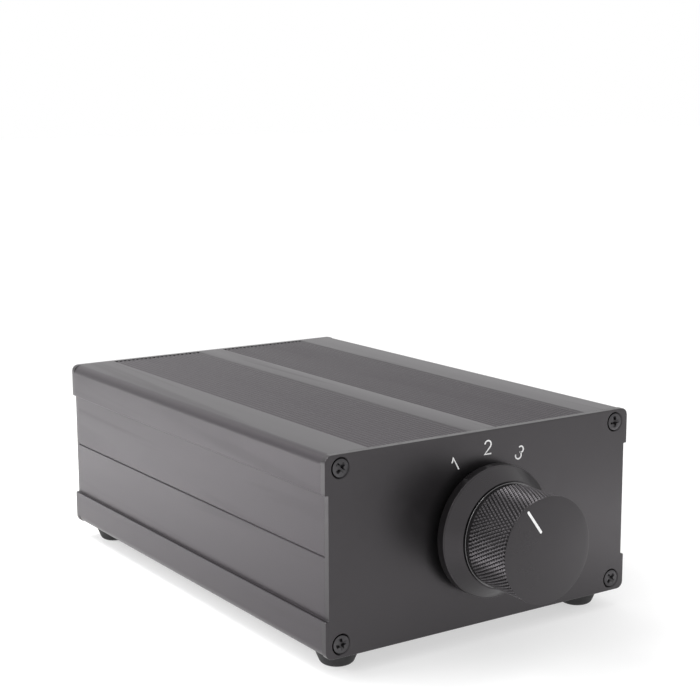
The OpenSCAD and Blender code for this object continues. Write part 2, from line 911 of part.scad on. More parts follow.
module detent_spring() {
    strip_h = wheel_t - 2 * spring_side_gap;
    color("lightsteelblue") on_axis() translate([0, 0, -wheel_back + spring_side_gap]) {
        translate([-spring_half_w, spring_y, 0]) cube([2 * spring_half_w, spring_t, strip_h]);
        intersection() {
            translate([0, spring_y, 0]) cylinder(r = bump_r, h = strip_h);
            translate([-bump_r, spring_y - 2 * bump_r, 0])
                cube([2 * bump_r, 2 * bump_r + spring_t / 2, strip_h]);
        }
    }
}

// Selector, turning pieces

module shaft() {
    color("silver") turned() difference() {
        union() {
            translate([0, 0, -rotor_back]) cylinder(r = shaft_r, h = rotor_back + shaft_reach);
            translate([0, 0, -pivot_end]) cylinder(r = pivot_r, h = pivot_end);
            translate([0, 0, -wheel_front]) cylinder(r = thrust_r, h = thrust_t);
        }
        rotate(-90) translate([flat_r, -shaft_d, recess_z]) cube([shaft_d, 2 * shaft_d, shaft_reach]);
        translate([flat_r, -shaft_d, -rotor_back - over])
            cube([shaft_d, 2 * shaft_d, rotor_back - wheel_front + over]);
        translate([0, 0, clip_z]) tube(shaft_d, clip_groove_r, clip_t);
    }
}

module shaft_clip() {
    color("silver") turned() translate([0, 0, clip_z + seat_gap]) difference() {
        tube(clip_r, clip_groove_r + seat_gap, clip_t - 2 * seat_gap);
        translate([-clip_mouth_w / 2, -clip_r - over, -over])
            cube([clip_mouth_w, clip_r + over, clip_t + 2 * over]);
    }
}

module detent_wheel() {
    color("ivory") turned() translate([0, 0, -wheel_back]) {
        difference() {
            cylinder(r = wheel_d / 2, h = wheel_t);
            translate([0, 0, -over]) ring_of(notch_count, spring_y)
                cylinder(r = notch_r, h = wheel_t + 2 * over);
            flatted_bore(wheel_t);
        }
        translate([0, stop_radius, wheel_t / 2])
            cylinder(r = stop_pin_r, h = wheel_t / 2 + wheel_front - plate_back + stop_depth);
    }
}

module rotor() {
    color("#5a3a20") turned() translate([0, 0, -rotor_back]) difference() {
        cylinder(r = rotor_d / 2, h = rotor_t);
        flatted_bore(rotor_t);
    }
}

module wipers() {
    span = outer_terminal_radius - inner_terminal_radius;
    color("gold") turned() for (i = [0:pole_count - 1]) rotate(i * 360 / pole_count) {
        translate([-wiper_w / 2, inner_terminal_radius - wiper_w / 2, -rotor_back - wiper_t])
            cube([wiper_w, span + wiper_w, wiper_t]);
        for (r = [inner_terminal_radius, outer_terminal_radius])
            translate([0, r, -rotor_back - wiper_t - dot_len])
                cylinder(r = contact_dot_r, h = dot_len + wiper_t / 2);
    }
}

// Knob

module index_slot(w, extra) {
    outer = grip_d / 2 - grip_chamfer - index_margin;
    translate([-w / 2, outer - index_len, face_z - index_depth]) cube([w, index_len, index_depth + extra]);
}

module knob() {
    color("#242427") turned() difference() {
        rotate_extrude() polygon([
            [0, flange_z],
            [flange_d / 2, flange_z],
            [flange_d / 2, skirt_z],
            [skirt_back_d / 2, skirt_z],
            [skirt_front_d / 2, groove_z],
            [groove_d / 2, groove_z],
            [groove_d / 2, grip_z],
            [grip_d / 2, grip_z],
            [grip_d / 2, face_z - grip_chamfer],
            [grip_d / 2 - grip_chamfer, face_z],
            [0, face_z]
        ]);
        translate([0, 0, flange_z - over]) cylinder(r = recess_d / 2, h = recess_z - flange_z + over);
        cylinder(r = shaft_r + seat_gap, h = bore_end_z);
        translate([0, 0, grub_z]) rotate([90, 0, 0]) cylinder(r = grub_r + seat_gap, h = flange_d);
        index_slot(index_w + 2 * seat_gap, over);
    }
}

module knob_index() {
    color("white") turned() index_slot(index_w, 0);
}

module grub_screw() {
    tip = flat_r + seat_gap;
    color("#1d1d20") turned() translate([0, -tip, grub_z]) rotate([90, 0, 0]) difference() {
        cylinder(r = grub_r, h = grub_len);
        translate([0, 0, grub_len - socket_key_depth])
            cylinder(r = socket_key_r, h = socket_key_depth + over, $fn = 6);
    }
}

upper_shell();
lower_shell();
front_panel();
rear_panel();
front_screws();
rear_screws();
foot_front_left();
foot_front_right();
foot_rear_left();
foot_rear_right();
foot_screws();
foot_washers();
main_board();
jack_block_out();
jack_block_in_1();
jack_block_in_2();
jack_block_in_3();
jack_shells();
jack_cores_white();
jack_cores_red();
jack_contacts();
jack_pins();
jack_screws();
switch_board();
link_header();
link_pins();
switch_bushing();
lock_washer();
bushing_nut();
switch_housing();
switch_rivets();
stator();
stator_terminals();
detent_spring();
shaft();
shaft_clip();
detent_wheel();
rotor();
wipers();
knob();
knob_index();
grub_screw();
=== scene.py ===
"""Looks of a three-way audio source selector.

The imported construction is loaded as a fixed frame, in metres, with +Z up and the front panel
towards -Y. Pieces that show are modelled again with softened edges and stand for their plain
solids. Pieces inside the case keep their solids and get a finish.
"""

import logging
import math
from abc import ABC, abstractmethod
from dataclasses import dataclass, replace
from enum import Enum
from typing import ClassVar, Iterable, Sequence

import bmesh
import bpy
from bmesh.types import BMEdge, BMFace, BMesh, BMVert
from bpy.types import ID, Material, Mesh, Node, NodeSocket, NodeTree, Object
from mathutils import Matrix, Vector


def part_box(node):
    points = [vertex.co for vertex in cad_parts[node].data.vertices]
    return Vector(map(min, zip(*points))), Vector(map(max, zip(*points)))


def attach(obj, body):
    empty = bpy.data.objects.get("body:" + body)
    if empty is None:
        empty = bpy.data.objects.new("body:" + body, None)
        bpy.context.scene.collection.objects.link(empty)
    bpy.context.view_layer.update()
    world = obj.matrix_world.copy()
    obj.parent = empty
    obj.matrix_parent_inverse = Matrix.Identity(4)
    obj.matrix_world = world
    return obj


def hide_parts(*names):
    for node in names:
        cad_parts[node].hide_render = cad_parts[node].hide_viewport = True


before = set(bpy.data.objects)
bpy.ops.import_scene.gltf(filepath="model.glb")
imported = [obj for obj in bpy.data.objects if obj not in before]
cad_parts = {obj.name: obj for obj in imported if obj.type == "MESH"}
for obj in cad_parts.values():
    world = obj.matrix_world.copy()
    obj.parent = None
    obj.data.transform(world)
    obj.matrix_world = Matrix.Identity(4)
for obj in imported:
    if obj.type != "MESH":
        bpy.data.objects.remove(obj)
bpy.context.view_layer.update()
log = logging.getLogger("source_selector")

MM = 0.001

# Distances that count as none, on flat and on turned shapes
WELD = 1e-7
NEAR = 10 * WELD

# Angles from which an edge is shaded as sharp
SHARP_ANGLE = math.radians(38)
KNURL_ANGLE = math.radians(32)

# Straight pieces in roundings and circles
FINE_STEPS = 2
SOFT_STEPS = 4
PORT_STEPS = 24
HOLE_STEPS = 48
ROUND_STEPS = 96

# Noises of the finishes
NOISE_START = 0.3
NOISE_END = 0.7
GRAIN_DETAIL = 2.0
TONE_DETAIL = 3.0
MARK_DETAIL = 6.0
MARK_DISTORTION = 1.5
MARKS_PER_CLOUD = 3.0
MARK_START = 0.52
MARK_END = 0.72
RING_DETAIL = 2.0

SHADER_NAME = "Principled BSDF"

Colour = tuple[float, float, float]
Point = tuple[float, float, float]


class Body(Enum):
    """The two bodies of the frame."""

    CASE = "case"
    SELECTOR = "selector"


class Facing(Enum):
    """Where the +Z axis of a flat or turned shape points once it is on the object."""

    UP = 0.0
    DOWN = math.pi
    FRONT = math.pi / 2
    REAR = -math.pi / 2

    def at(self, x: float, y: float, z: float) -> Matrix:
        """The matrix that brings a shape's origin to a point and turns it this way."""
        return Matrix.Translation((x, y, z)) @ Matrix.Rotation(self.value, 4, "X")


@dataclass(frozen=True)
class Corner:
    """One corner of a flat outline or half section.

    Attributes:
        x: Distance from the middle, or from the axis of a turned shape.
        y: Height, or distance along the axis of a turned shape.
        soft: Length that the rounding takes from each side of the corner.
    """

    x: float
    y: float
    soft: float = 0.0


@dataclass(frozen=True)
class Bore:
    """A round hole through a plate.

    Attributes:
        place: Centre of the hole on the object.
        radius: Radius of the hole.
        mouth: Radius at the plate's outer face, larger where a screw head sinks in.
    """

    place: Vector
    radius: float
    mouth: float


class Sketch:
    """A node tree with short calls for adding and joining nodes."""

    # Sockets of a mix node that mixes colours
    MIX_FACTOR = 0
    MIX_LOW = 6
    MIX_HIGH = 7
    MIX_RESULT = 2

    def __init__(self, tree: NodeTree) -> None:
        """Wraps a tree and empties it.

        Args:
            tree: The node tree to draw in.
        """
        self.tree = tree
        tree.nodes.clear()

    def add(self, kind: str, **settings: object) -> Node:
        """Adds a node.

        Args:
            kind: The node's type name.
            **settings: Attributes of the node to set.

        Returns:
            The new node.
        """
        node = self.tree.nodes.new(kind)
        for name, value in settings.items():
            setattr(node, name, value)
        return node

    def link(self, source: NodeSocket, target: NodeSocket) -> None:
        """Joins an output to an input."""
        self.tree.links.new(source, target)

    def feed(self, socket: NodeSocket, value: object) -> None:
        """Joins an input to the socket that feeds it, or sets it to a plain value."""
        if isinstance(value, NodeSocket):
            self.link(value, socket)
        else:
            socket.default_value = value

    def math(self, operation: str, *values: object) -> NodeSocket:
        """Adds a math node.

        Args:
            operation: What the node does, such as ADD.
            *values: Its inputs, each a number or the socket that feeds it.

        Returns:
            The node's output.
        """
        node = self.add("ShaderNodeMath", operation=operation)
        for socket, value in zip(node.inputs, values):
            self.feed(socket, value)
        return node.outputs[0]

    def noise(self, vector: NodeSocket, detail: float) -> Node:
        """Adds a noise texture on a vector, with its scale left open.

        Args:
            vector: The coordinates to read.
            detail: How many finer layers the noise has.

        Returns:
            The texture node.
        """
        node = self.add("ShaderNodeTexNoise")
        node.inputs["Detail"].default_value = detail
        self.link(vector, node.inputs["Vector"])
        return node

    def mixed(self, factor: NodeSocket, low: Colour | NodeSocket, high: Colour) -> NodeSocket:
        """Mixes two colours.

        Args:
            factor: The mask between them.
            low: The colour where the mask is 0, or the socket that feeds it.
            high: The colour where the mask is 1.

        Returns:
            The mixed colour.
        """
        node = self.add("ShaderNodeMix", data_type="RGBA")
        self.link(factor, node.inputs[self.MIX_FACTOR])
        self.feed(node.inputs[self.MIX_LOW], low if isinstance(low, NodeSocket) else (*low, 1.0))
        self.feed(node.inputs[self.MIX_HIGH], (*high, 1.0))
        return node.outputs[self.MIX_RESULT]

    def spread(
        self, value: NodeSocket, low: float, high: float, start: float = NOISE_START, end: float = NOISE_END
    ) -> NodeSocket:
        """Maps a value onto a range.

        Args:
            value: The value to map, such as a noise.
            low: The result at the start of the value's useful range.
            high: The result at its end.
            start: Where that range starts.
            end: Where it ends.

        Returns:
            The mapped value.
        """
        node = self.add("ShaderNodeMapRange")
        self.link(value, node.inputs["Value"])
        for name, number in (("From Min", start), ("From Max", end), ("To Min", low), ("To Max", high)):
            node.inputs[name].default_value = number
        return node.outputs["Result"]


def new_group(name: str, inputs: Sequence[tuple[str, str]], outputs: Sequence[str]) -> NodeTree:
    """Makes an empty shader group with its sockets.

    Args:
        name: The group's name.
        inputs: Name and socket type of each input.
        outputs: Name of each output, all plain values.

    Returns:
        The group's node tree.
    """
    group = bpy.data.node_groups.new(name, "ShaderNodeTree")
    for label, kind in inputs:
        group.interface.new_socket(label, in_out="INPUT", socket_type=kind)
    for label in outputs:
        group.interface.new_socket(label, in_out="OUTPUT", socket_type="NodeSocketFloat")
    return group


def surface_grain() -> NodeTree:
    """The group for fine grain, broad tone and faint handling marks, built on first use."""
    made = bpy.data.node_groups.get("surface_grain")
    if made is not None:
        return made
    group = new_group(
        "surface_grain",
        (
            ("Vector", "NodeSocketVector"),
            ("Fine Scale", "NodeSocketFloat"),
            ("Broad Scale", "NodeSocketFloat"),
        ),
        ("Grain", "Tone", "Marks"),
    )
    sketch = Sketch(group)
    start = sketch.add("NodeGroupInput")
    end = sketch.add("NodeGroupOutput")
    vector = start.outputs["Vector"]
    grain = sketch.noise(vector, GRAIN_DETAIL)
    tone = sketch.noise(vector, TONE_DETAIL)
    marks = sketch.noise(vector, MARK_DETAIL)
    marks.inputs["Distortion"].default_value = MARK_DISTORTION
    sketch.link(start.outputs["Fine Scale"], grain.inputs["Scale"])
    sketch.link(start.outputs["Broad Scale"], tone.inputs["Scale"])
    mark_scale = sketch.math("MULTIPLY", start.outputs["Broad Scale"], MARKS_PER_CLOUD)
    sketch.link(mark_scale, marks.inputs["Scale"])
    sketch.link(grain.outputs[0], end.inputs["Grain"])
    sketch.link(tone.outputs[0], end.inputs["Tone"])
    sketch.link(sketch.spread(marks.outputs[0], 0.0, 1.0, MARK_START, MARK_END), end.inputs["Marks"])
    return group


def turning_lines() -> NodeTree:
    """The group for the distance from the local Y axis and a lathe's rings round it, built on first use."""
    made = bpy.data.node_groups.get("turning_lines")
    if made is not None:
        return made
    group = new_group(
        "turning_lines",
        (("Vector", "NodeSocketVector"), ("Rings per Metre", "NodeSocketFloat")),
        ("Rings", "Radius"),
    )
    sketch = Sketch(group)
    start = sketch.add("NodeGroupInput")
    end = sketch.add("NodeGroupOutput")
    parts = sketch.add("ShaderNodeSeparateXYZ")
    sketch.link(start.outputs["Vector"], parts.inputs[0])
    across = sketch.math("MULTIPLY", parts.outputs["X"], parts.outputs["X"])
    upward = sketch.math("MULTIPLY", parts.outputs["Z"], parts.outputs["Z"])
    radius = sketch.math("SQRT", sketch.math("ADD", across, upward))
    place = sketch.math("ADD", radius, parts.outputs["Y"])
    rings = sketch.add("ShaderNodeTexNoise", noise_dimensions="1D")
    rings.inputs["Detail"].default_value = RING_DETAIL
    sketch.link(place, rings.inputs["W"])
    sketch.link(start.outputs["Rings per Metre"], rings.inputs["Scale"])
    sketch.link(rings.outputs[0], end.inputs["Rings"])
    sketch.link(radius, end.inputs["Radius"])
    return group


@dataclass(frozen=True)
class Finish(ABC):
    """A surface finish: one procedural material for one of the record's slots.

    Attributes:
        name: The material's name.
        slot: The record's material slot; not used.
        dark: The base colour where the tone is low.
        light: The base colour where the tone is high.
        smooth: The lowest roughness.
        rough: The highest roughness.
        fine: Grains per metre.
        broad: Clouds of tone per metre.
        relief: Height of the grain.
        stretch: How much the grain is squeezed along each axis.
    """

    # Shares of the fine grain and of the marks, and the useful range of the tone
    SPECKLE: ClassVar[float] = 0.3
    MARK_SHARE: ClassVar[float] = 0.35
    TONE_START: ClassVar[float] = 0.4
    TONE_END: ClassVar[float] = 0.9

    name: str
    slot: str
    dark: Colour
    light: Colour
    smooth: float
    rough: float
    fine: float = 4000.0
    broad: float = 40.0
    relief: float = 0.01 * MM
    stretch: Point = (1.0, 1.0, 1.0)

    def material(self) -> Material:
        """The finish's material, built on first use."""
        made = bpy.data.materials.get(self.name)
        if made is None:
            made = bpy.data.materials.new(self.name)
            made.use_nodes = True
            self.draw(Sketch(made.node_tree))
        return made

    def draw(self, sketch: Sketch) -> None:
        """Draws the whole material: coordinates, grain, shader and output.

        Args:
            sketch: The material's empty node tree.
        """
        shader = sketch.add("ShaderNodeBsdfPrincipled")
        output = sketch.add("ShaderNodeOutputMaterial")
        sketch.link(shader.outputs[0], output.inputs["Surface"])
        coordinates = sketch.add("ShaderNodeTexCoord").outputs["Object"]
        mapping = sketch.add("ShaderNodeMapping")
        mapping.inputs["Scale"].default_value = self.stretch
        sketch.link(coordinates, mapping.inputs["Vector"])
        grain = sketch.add("ShaderNodeGroup", node_tree=surface_grain())
        grain.inputs["Fine Scale"].default_value = self.fine
        grain.inputs["Broad Scale"].default_value = self.broad
        sketch.link(mapping.outputs[0], grain.inputs["Vector"])
        sketch.link(self.colour(sketch, coordinates, grain), shader.inputs["Base Color"])
        scuffed = sketch.math("MULTIPLY_ADD", grain.outputs["Marks"], self.MARK_SHARE, grain.outputs["Tone"])
        sketch.link(sketch.spread(scuffed, self.smooth, self.rough), shader.inputs["Roughness"])
        bump = sketch.add("ShaderNodeBump")
        bump.inputs["Distance"].default_value = self.relief
        sketch.link(self.height(sketch, coordinates, grain), bump.inputs["Height"])
        sketch.link(bump.outputs[0], shader.inputs["Normal"])
        self.character(shader)

    def colour(self, sketch: Sketch, coordinates: NodeSocket, grain: Node) -> NodeSocket:
        """The base colour, from the tone and a little of the grain.

        Args:
            sketch: The material's node tree.
            coordinates: Object coordinates.
            grain: The grain group's node.

        Returns:
            The colour socket.
        """
        speckled = sketch.math("MULTIPLY_ADD", grain.outputs["Grain"], self.SPECKLE, grain.outputs["Tone"])
        mask = sketch.spread(speckled, 0.0, 1.0, self.TONE_START, self.TONE_END)
        return sketch.mixed(mask, self.dark, self.light)

    def height(self, sketch: Sketch, coordinates: NodeSocket, grain: Node) -> NodeSocket:
        """The relief of the surface.

        Args:
            sketch: The material's node tree.
            coordinates: Object coordinates.
            grain: The grain group's node.

        Returns:
            The height socket.
        """
        return grain.outputs["Grain"]

    @abstractmethod
    def character(self, shader: Node) -> None:
        """Sets what is the same all over the surface, such as how metallic it is."""


@dataclass(frozen=True)
class AnodisedFinish(Finish):
    """Dyed anodised aluminium, blasted or drawn to a satin.

    Attributes:
        ior: How strongly the clear oxide reflects.
        sheen: Tint of that reflection.
    """

    ior: float = 1.6
    sheen: Colour = (1.0, 0.94, 0.99)

    def character(self, shader: Node) -> None:
        """Sets the reflection of the clear oxide over the dye."""
        shader.inputs["IOR"].default_value = self.ior
        shader.inputs["Specular Tint"].default_value = (*self.sheen, 1.0)


@dataclass(frozen=True)
class TurnedFinish(AnodisedFinish):
    """Anodised aluminium turned round an axis along Y, with a polished edge and paler knurl tips: rubbed
    dye, with painted shade in the valleys.

    Attributes:
        axis_x: The axis from the middle of the object.
        axis_z: The axis above the table.
        rings: Lathe rings per metre.
        edge: First and last place, along Y, of a narrow edge that handling has polished.
        polish: Strength of the clear reflection on that edge.
        polish_ior: How strongly that reflection mirrors.
        polish_rough: Roughness of that reflection.
        grip: First and last place, along Y, of the knurl.
        wear_and_shade: Distances from the axis where the knurl's tips start to pale and are fully pale:
            rubbed dye, and painted shade in the valleys.
        worn_and_lit_tip: The base colour of the pale tips: rubbed dye, set against painted shade in the
            valleys.
    """

    # Share of the fine grain beside the rings
    GRAIN_SHARE: ClassVar[float] = 0.3

    axis_x: float = 0.0
    axis_z: float = 0.0
    rings: float = 9000.0
    edge: tuple[float, float] = (0.0, 0.0)
    polish: float = 0.0
    polish_ior: float = 2.0
    polish_rough: float = 0.15
    grip: tuple[float, float] = (0.0, 0.0)
    wear_and_shade: tuple[float, float] = (0.0, 1.0)
    worn_and_lit_tip: Colour = (0.055, 0.052, 0.055)

    def lathe(self, sketch: Sketch, coordinates: NodeSocket) -> Node:
        """Adds the group of lathe rings, centred on the axis.

        Args:
            sketch: The material's node tree.
            coordinates: Object coordinates.

        Returns:
            The group's node.
        """
        centring = sketch.add("ShaderNodeMapping")
        centring.inputs["Location"].default_value = (-self.axis_x, 0.0, -self.axis_z)
        sketch.link(coordinates, centring.inputs["Vector"])
        lines = sketch.add("ShaderNodeGroup", node_tree=turning_lines())
        lines.inputs["Rings per Metre"].default_value = self.rings
        sketch.link(centring.outputs[0], lines.inputs["Vector"])
        return lines

    @staticmethod
    def band(sketch: Sketch, coordinates: NodeSocket, ends: tuple[float, float]) -> NodeSocket:
        """A mask between two places along Y.

        Args:
            sketch: The material's node tree.
            coordinates: Object coordinates.
            ends: The two places.

        Returns:
            The mask's socket.
        """
        parts = sketch.add("ShaderNodeSeparateXYZ")
        sketch.link(coordinates, parts.inputs[0])
        away = sketch.math("SUBTRACT", parts.outputs["Y"], sum(ends) / 2)
        return sketch.math("LESS_THAN", sketch.math("ABSOLUTE", away), abs(ends[1] - ends[0]) / 2)

    def draw(self, sketch: Sketch) -> None:
        """Draws the whole material, with the clear reflection on the polished edge.

        Args:
            sketch: The material's empty node tree.
        """
        super().draw(sketch)
        shader = sketch.tree.nodes[SHADER_NAME]
        coordinates = sketch.add("ShaderNodeTexCoord").outputs["Object"]
        on_edge = self.band(sketch, coordinates, self.edge)
        sketch.link(sketch.math("MULTIPLY", on_edge, self.polish), shader.inputs["Coat Weight"])

    def colour(self, sketch: Sketch, coordinates: NodeSocket, grain: Node) -> NodeSocket:
        """The base colour, paler on the knurl's tips: dye rubbed off them, and painted shade left in the
        valleys.

        Args:
            sketch: The material's node tree.
            coordinates: Object coordinates.
            grain: The grain group's node.

        Returns:
            The colour socket.
        """
        dyed = super().colour(sketch, coordinates, grain)
        start, end = self.wear_and_shade
        # Knurl tips paler than the valleys: rubbed dye, and painted shade in the valleys.
        tips = sketch.spread(self.lathe(sketch, coordinates).outputs["Radius"], 0.0, 1.0, start, end)
        on_grip = self.band(sketch, coordinates, self.grip)
        return sketch.mixed(sketch.math("MULTIPLY", tips, on_grip), dyed, self.worn_and_lit_tip)

    def height(self, sketch: Sketch, coordinates: NodeSocket, grain: Node) -> NodeSocket:
        """The relief of the surface: rings over a little grain.

        Args:
            sketch: The material's node tree.
            coordinates: Object coordinates.
            grain: The grain group's node.

        Returns:
            The height socket.
        """
        rings = self.lathe(sketch, coordinates).outputs["Rings"]
        return sketch.math("MULTIPLY_ADD", grain.outputs["Grain"], self.GRAIN_SHARE, rings)

    def character(self, shader: Node) -> None:
        """Sets the reflection of the clear oxide and that of the polished edge."""
        super().character(shader)
        shader.inputs["Coat IOR"].default_value = self.polish_ior
        shader.inputs["Coat Roughness"].default_value = self.polish_rough


@dataclass(frozen=True)
class MetalFinish(Finish):
    """Bare or plated metal."""

    def character(self, shader: Node) -> None:
        """Makes the surface metal all over."""
        shader.inputs["Metallic"].default_value = 1.0


@dataclass(frozen=True)
class MouldedFinish(Finish):
    """Rubber, moulded plastic, laminate or paint.

    Attributes:
        gloss: Strength of the clear reflection.
    """

    gloss: float = 0.5

    def character(self, shader: Node) -> None:
        """Sets the strength of the clear reflection."""
        shader.inputs["Specular IOR Level"].default_value = self.gloss


@dataclass(frozen=True)
class BoardFinish(MouldedFinish):
    """Solder mask over copper tracks on a glass laminate.

    Attributes:
        tracks: Tracks per metre across the board.
        track_w: Width of the tracks, in cells of their pattern.
        stagger: Shift of every second row of cells, in cells.
        copper: Colour where a track shows through the mask.
    """

    tracks: float = 260.0
    track_w: float = 0.12
    stagger: float = 0.35
    copper: Colour = (0.03, 0.19, 0.07)

    def colour(self, sketch: Sketch, coordinates: NodeSocket, grain: Node) -> NodeSocket:
        """The base colour, with paler tracks on the mask.

        Args:
            sketch: The material's node tree.
            coordinates: Object coordinates.
            grain: The grain group's node.

        Returns:
            The colour socket.
        """
        bricks = sketch.add("ShaderNodeTexBrick", offset=self.stagger)
        bricks.inputs["Scale"].default_value = self.tracks
        bricks.inputs["Mortar Size"].default_value = self.track_w
        bricks.inputs["Color1"].default_value = (*self.dark, 1.0)
        bricks.inputs["Color2"].default_value = (*self.light, 1.0)
        bricks.inputs["Mortar"].default_value = (*self.copper, 1.0)
        sketch.link(coordinates, bricks.inputs["Vector"])
        return bricks.outputs["Color"]


def solid_box(node: str) -> tuple[Vector, Vector]:
    """The lowest and highest corner of a node as vectors."""
    low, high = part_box(node)
    return Vector(low), Vector(high)


FRONT_LOW, FRONT_HIGH = solid_box("front_panel")
REAR_LOW, REAR_HIGH = solid_box("rear_panel")
HALF_W = FRONT_HIGH.x
HALF_H = (FRONT_HIGH.z - FRONT_LOW.z) / 2
MID_Z = (FRONT_HIGH.z + FRONT_LOW.z) / 2
FRONT_Y = FRONT_LOW.y
REAR_Y = REAR_HIGH.y
PANEL_T = FRONT_HIGH.y - FRONT_LOW.y

# Sizes that the shells and the panels share
BAND_H = 10 * MM
SIDE_RECESS = 1 * MM
SCREW_X = 45.4 * MM
SCREW_INSET = 3.5 * MM
INNER_SOFT = 0.6

# Sizes that the knob shares with its finish and with the numerals
COLLAR_BACK = 8.85 * MM
COLLAR_FRONT = 9.15 * MM
COLLAR_SPARE = 0.02 * MM
GRIP_R = 13.8 * MM
GRIP_FRONT = 24.3 * MM
KNURL_DEPTH = 0.5 * MM
# Shares of the knurl's depth below its tips where the tips start to pale and are full: rubbed dye and
# painted shade in the valleys.
WEAR_AND_SHADE_START = 0.62
WEAR_AND_SHADE_FULL = 0.38
POSITION_STEP = math.radians(30)

CASE_BLACK = AnodisedFinish(
    "drawn_black_anodise", "case_black", (0.0060, 0.0056, 0.0060), (0.0090, 0.0084, 0.0090),
    smooth=0.32, rough=0.42, fine=5200.0, broad=30.0, relief=0.004 * MM, stretch=(1.0, 0.06, 1.0),
    sheen=(1.0, 0.89, 0.99),
)
PANEL_BLACK = AnodisedFinish(
    "blasted_black_anodise", "panel_black", (0.0050, 0.0047, 0.0050), (0.0080, 0.0075, 0.0080),
    smooth=0.29, rough=0.37, fine=6500.0, broad=34.0, relief=0.004 * MM,
)
KNOB_BLACK = TurnedFinish(
    "turned_black_anodise", "knob_black", (0.0050, 0.0047, 0.0050), (0.0080, 0.0075, 0.0080),
    smooth=0.27, rough=0.35, fine=6000.0, broad=60.0, relief=0.003 * MM, ior=1.55, axis_z=MID_Z,
    edge=(FRONT_Y - COLLAR_BACK + COLLAR_SPARE, FRONT_Y - COLLAR_FRONT - COLLAR_SPARE), polish=0.75,
    grip=(FRONT_Y - COLLAR_FRONT, FRONT_Y - GRIP_FRONT),
    # Paler knurl tips: rubbed dye and painted shade in the valleys.
    wear_and_shade=(GRIP_R - WEAR_AND_SHADE_START * KNURL_DEPTH, GRIP_R - WEAR_AND_SHADE_FULL * KNURL_DEPTH),
)
SCREW_BLACK = MetalFinish(
    "blackened_screw_steel", "screw_black", (0.055, 0.053, 0.056), (0.095, 0.092, 0.096),
    smooth=0.30, rough=0.45, fine=9000.0, broad=300.0, relief=0.004 * MM,
)
RUBBER = MouldedFinish(
    "black_foot_rubber", "rubber", (0.012, 0.012, 0.013), (0.024, 0.023, 0.024),
    smooth=0.55, rough=0.72, fine=5000.0, broad=120.0, relief=0.010 * MM, gloss=0.4,
)
STEEL = MetalFinish(
    "bright_steel", "steel", (0.46, 0.45, 0.44), (0.60, 0.59, 0.58),
    smooth=0.24, rough=0.40, fine=7000.0, broad=120.0, relief=0.003 * MM,
)
GOLD = MetalFinish(
    "gold_plate", "gold_plate", (0.80, 0.55, 0.20), (0.94, 0.70, 0.32),
    smooth=0.14, rough=0.28, fine=9000.0, broad=150.0, relief=0.002 * MM,
)
BRASS = MetalFinish(
    "turned_brass", "brass", (0.62, 0.44, 0.17), (0.76, 0.57, 0.25),
    smooth=0.24, rough=0.38, fine=8000.0, broad=120.0, relief=0.003 * MM,
)
BOARD = BoardFinish(
    "green_solder_mask", "board", (0.012, 0.105, 0.045), (0.016, 0.125, 0.052),
    smooth=0.28, rough=0.42, fine=2600.0, broad=60.0, relief=0.010 * MM,
)
BLACK_PLASTIC = MouldedFinish(
    "black_socket_plastic", "black_plastic", (0.016, 0.016, 0.017), (0.028, 0.027, 0.028),
    smooth=0.40, rough=0.56, fine=3600.0, broad=90.0, relief=0.010 * MM,
)
GREY_PLASTIC = MouldedFinish(
    "grey_switch_plastic", "grey_plastic", (0.045, 0.046, 0.050), (0.066, 0.066, 0.070),
    smooth=0.42, rough=0.58, fine=3600.0, broad=90.0, relief=0.010 * MM,
)
LAMINATE = MouldedFinish(
    "brown_paper_laminate", "brown_laminate", (0.17, 0.085, 0.032), (0.27, 0.14, 0.055),
    smooth=0.36, rough=0.52, fine=2800.0, broad=420.0, relief=0.008 * MM, stretch=(1.0, 1.0, 0.2),
)
NYLON = MouldedFinish(
    "natural_nylon", "nylon", (0.70, 0.67, 0.58), (0.80, 0.77, 0.68),
    smooth=0.38, rough=0.52, fine=3200.0, broad=90.0, relief=0.008 * MM,
)
WHITE_PLASTIC = MouldedFinish(
    "white_socket_plastic", "white_plastic", (0.70, 0.69, 0.66), (0.80, 0.79, 0.77),
    smooth=0.30, rough=0.44, fine=4200.0, broad=120.0, relief=0.006 * MM,
)
RED_PLASTIC = MouldedFinish(
    "red_socket_plastic", "red_plastic", (0.42, 0.018, 0.016), (0.54, 0.028, 0.022),
    smooth=0.30, rough=0.44, fine=4200.0, broad=120.0, relief=0.006 * MM,
)
WHITE_PAINT = MouldedFinish(
    "white_index_paint", "index_white", (0.80, 0.80, 0.80), (0.90, 0.90, 0.90),
    smooth=0.40, rough=0.55, fine=6000.0, broad=500.0, relief=0.006 * MM,
)
FLOOR_PAPER = MouldedFinish(
    "pale_studio_floor", "", (0.43, 0.43, 0.43), (0.47, 0.47, 0.47),
    smooth=0.65, rough=0.8, fine=900.0, broad=6.0, relief=0.01 * MM, gloss=0.2,
)


def tidy(bm: BMesh) -> None:
    """Merges doubles, drops faces without area and turns every face outwards."""
    bmesh.ops.remove_doubles(bm, verts=bm.verts[:], dist=WELD)
    bmesh.ops.dissolve_degenerate(bm, edges=bm.edges[:], dist=WELD)
    bmesh.ops.recalc_face_normals(bm, faces=bm.faces[:])
    bm.normal_update()


def verts_of(geom: Iterable[object]) -> list[BMVert]:
    """The points in what a mesh operator returns."""
    return [item for item in geom if isinstance(item, BMVert)]


def extruded(bm: BMesh, faces: Sequence[BMFace], height: float) -> None:
    """Extrudes faces along Z.

    Args:
        bm: The mesh that holds the faces.
        faces: The faces, which become one end of a solid.
        height: How far the other end moves.
    """
    moved = bmesh.ops.extrude_face_region(bm, geom=list(faces))["geom"]
    bmesh.ops.translate(bm, vec=(0.0, 0.0, height), verts=verts_of(moved))


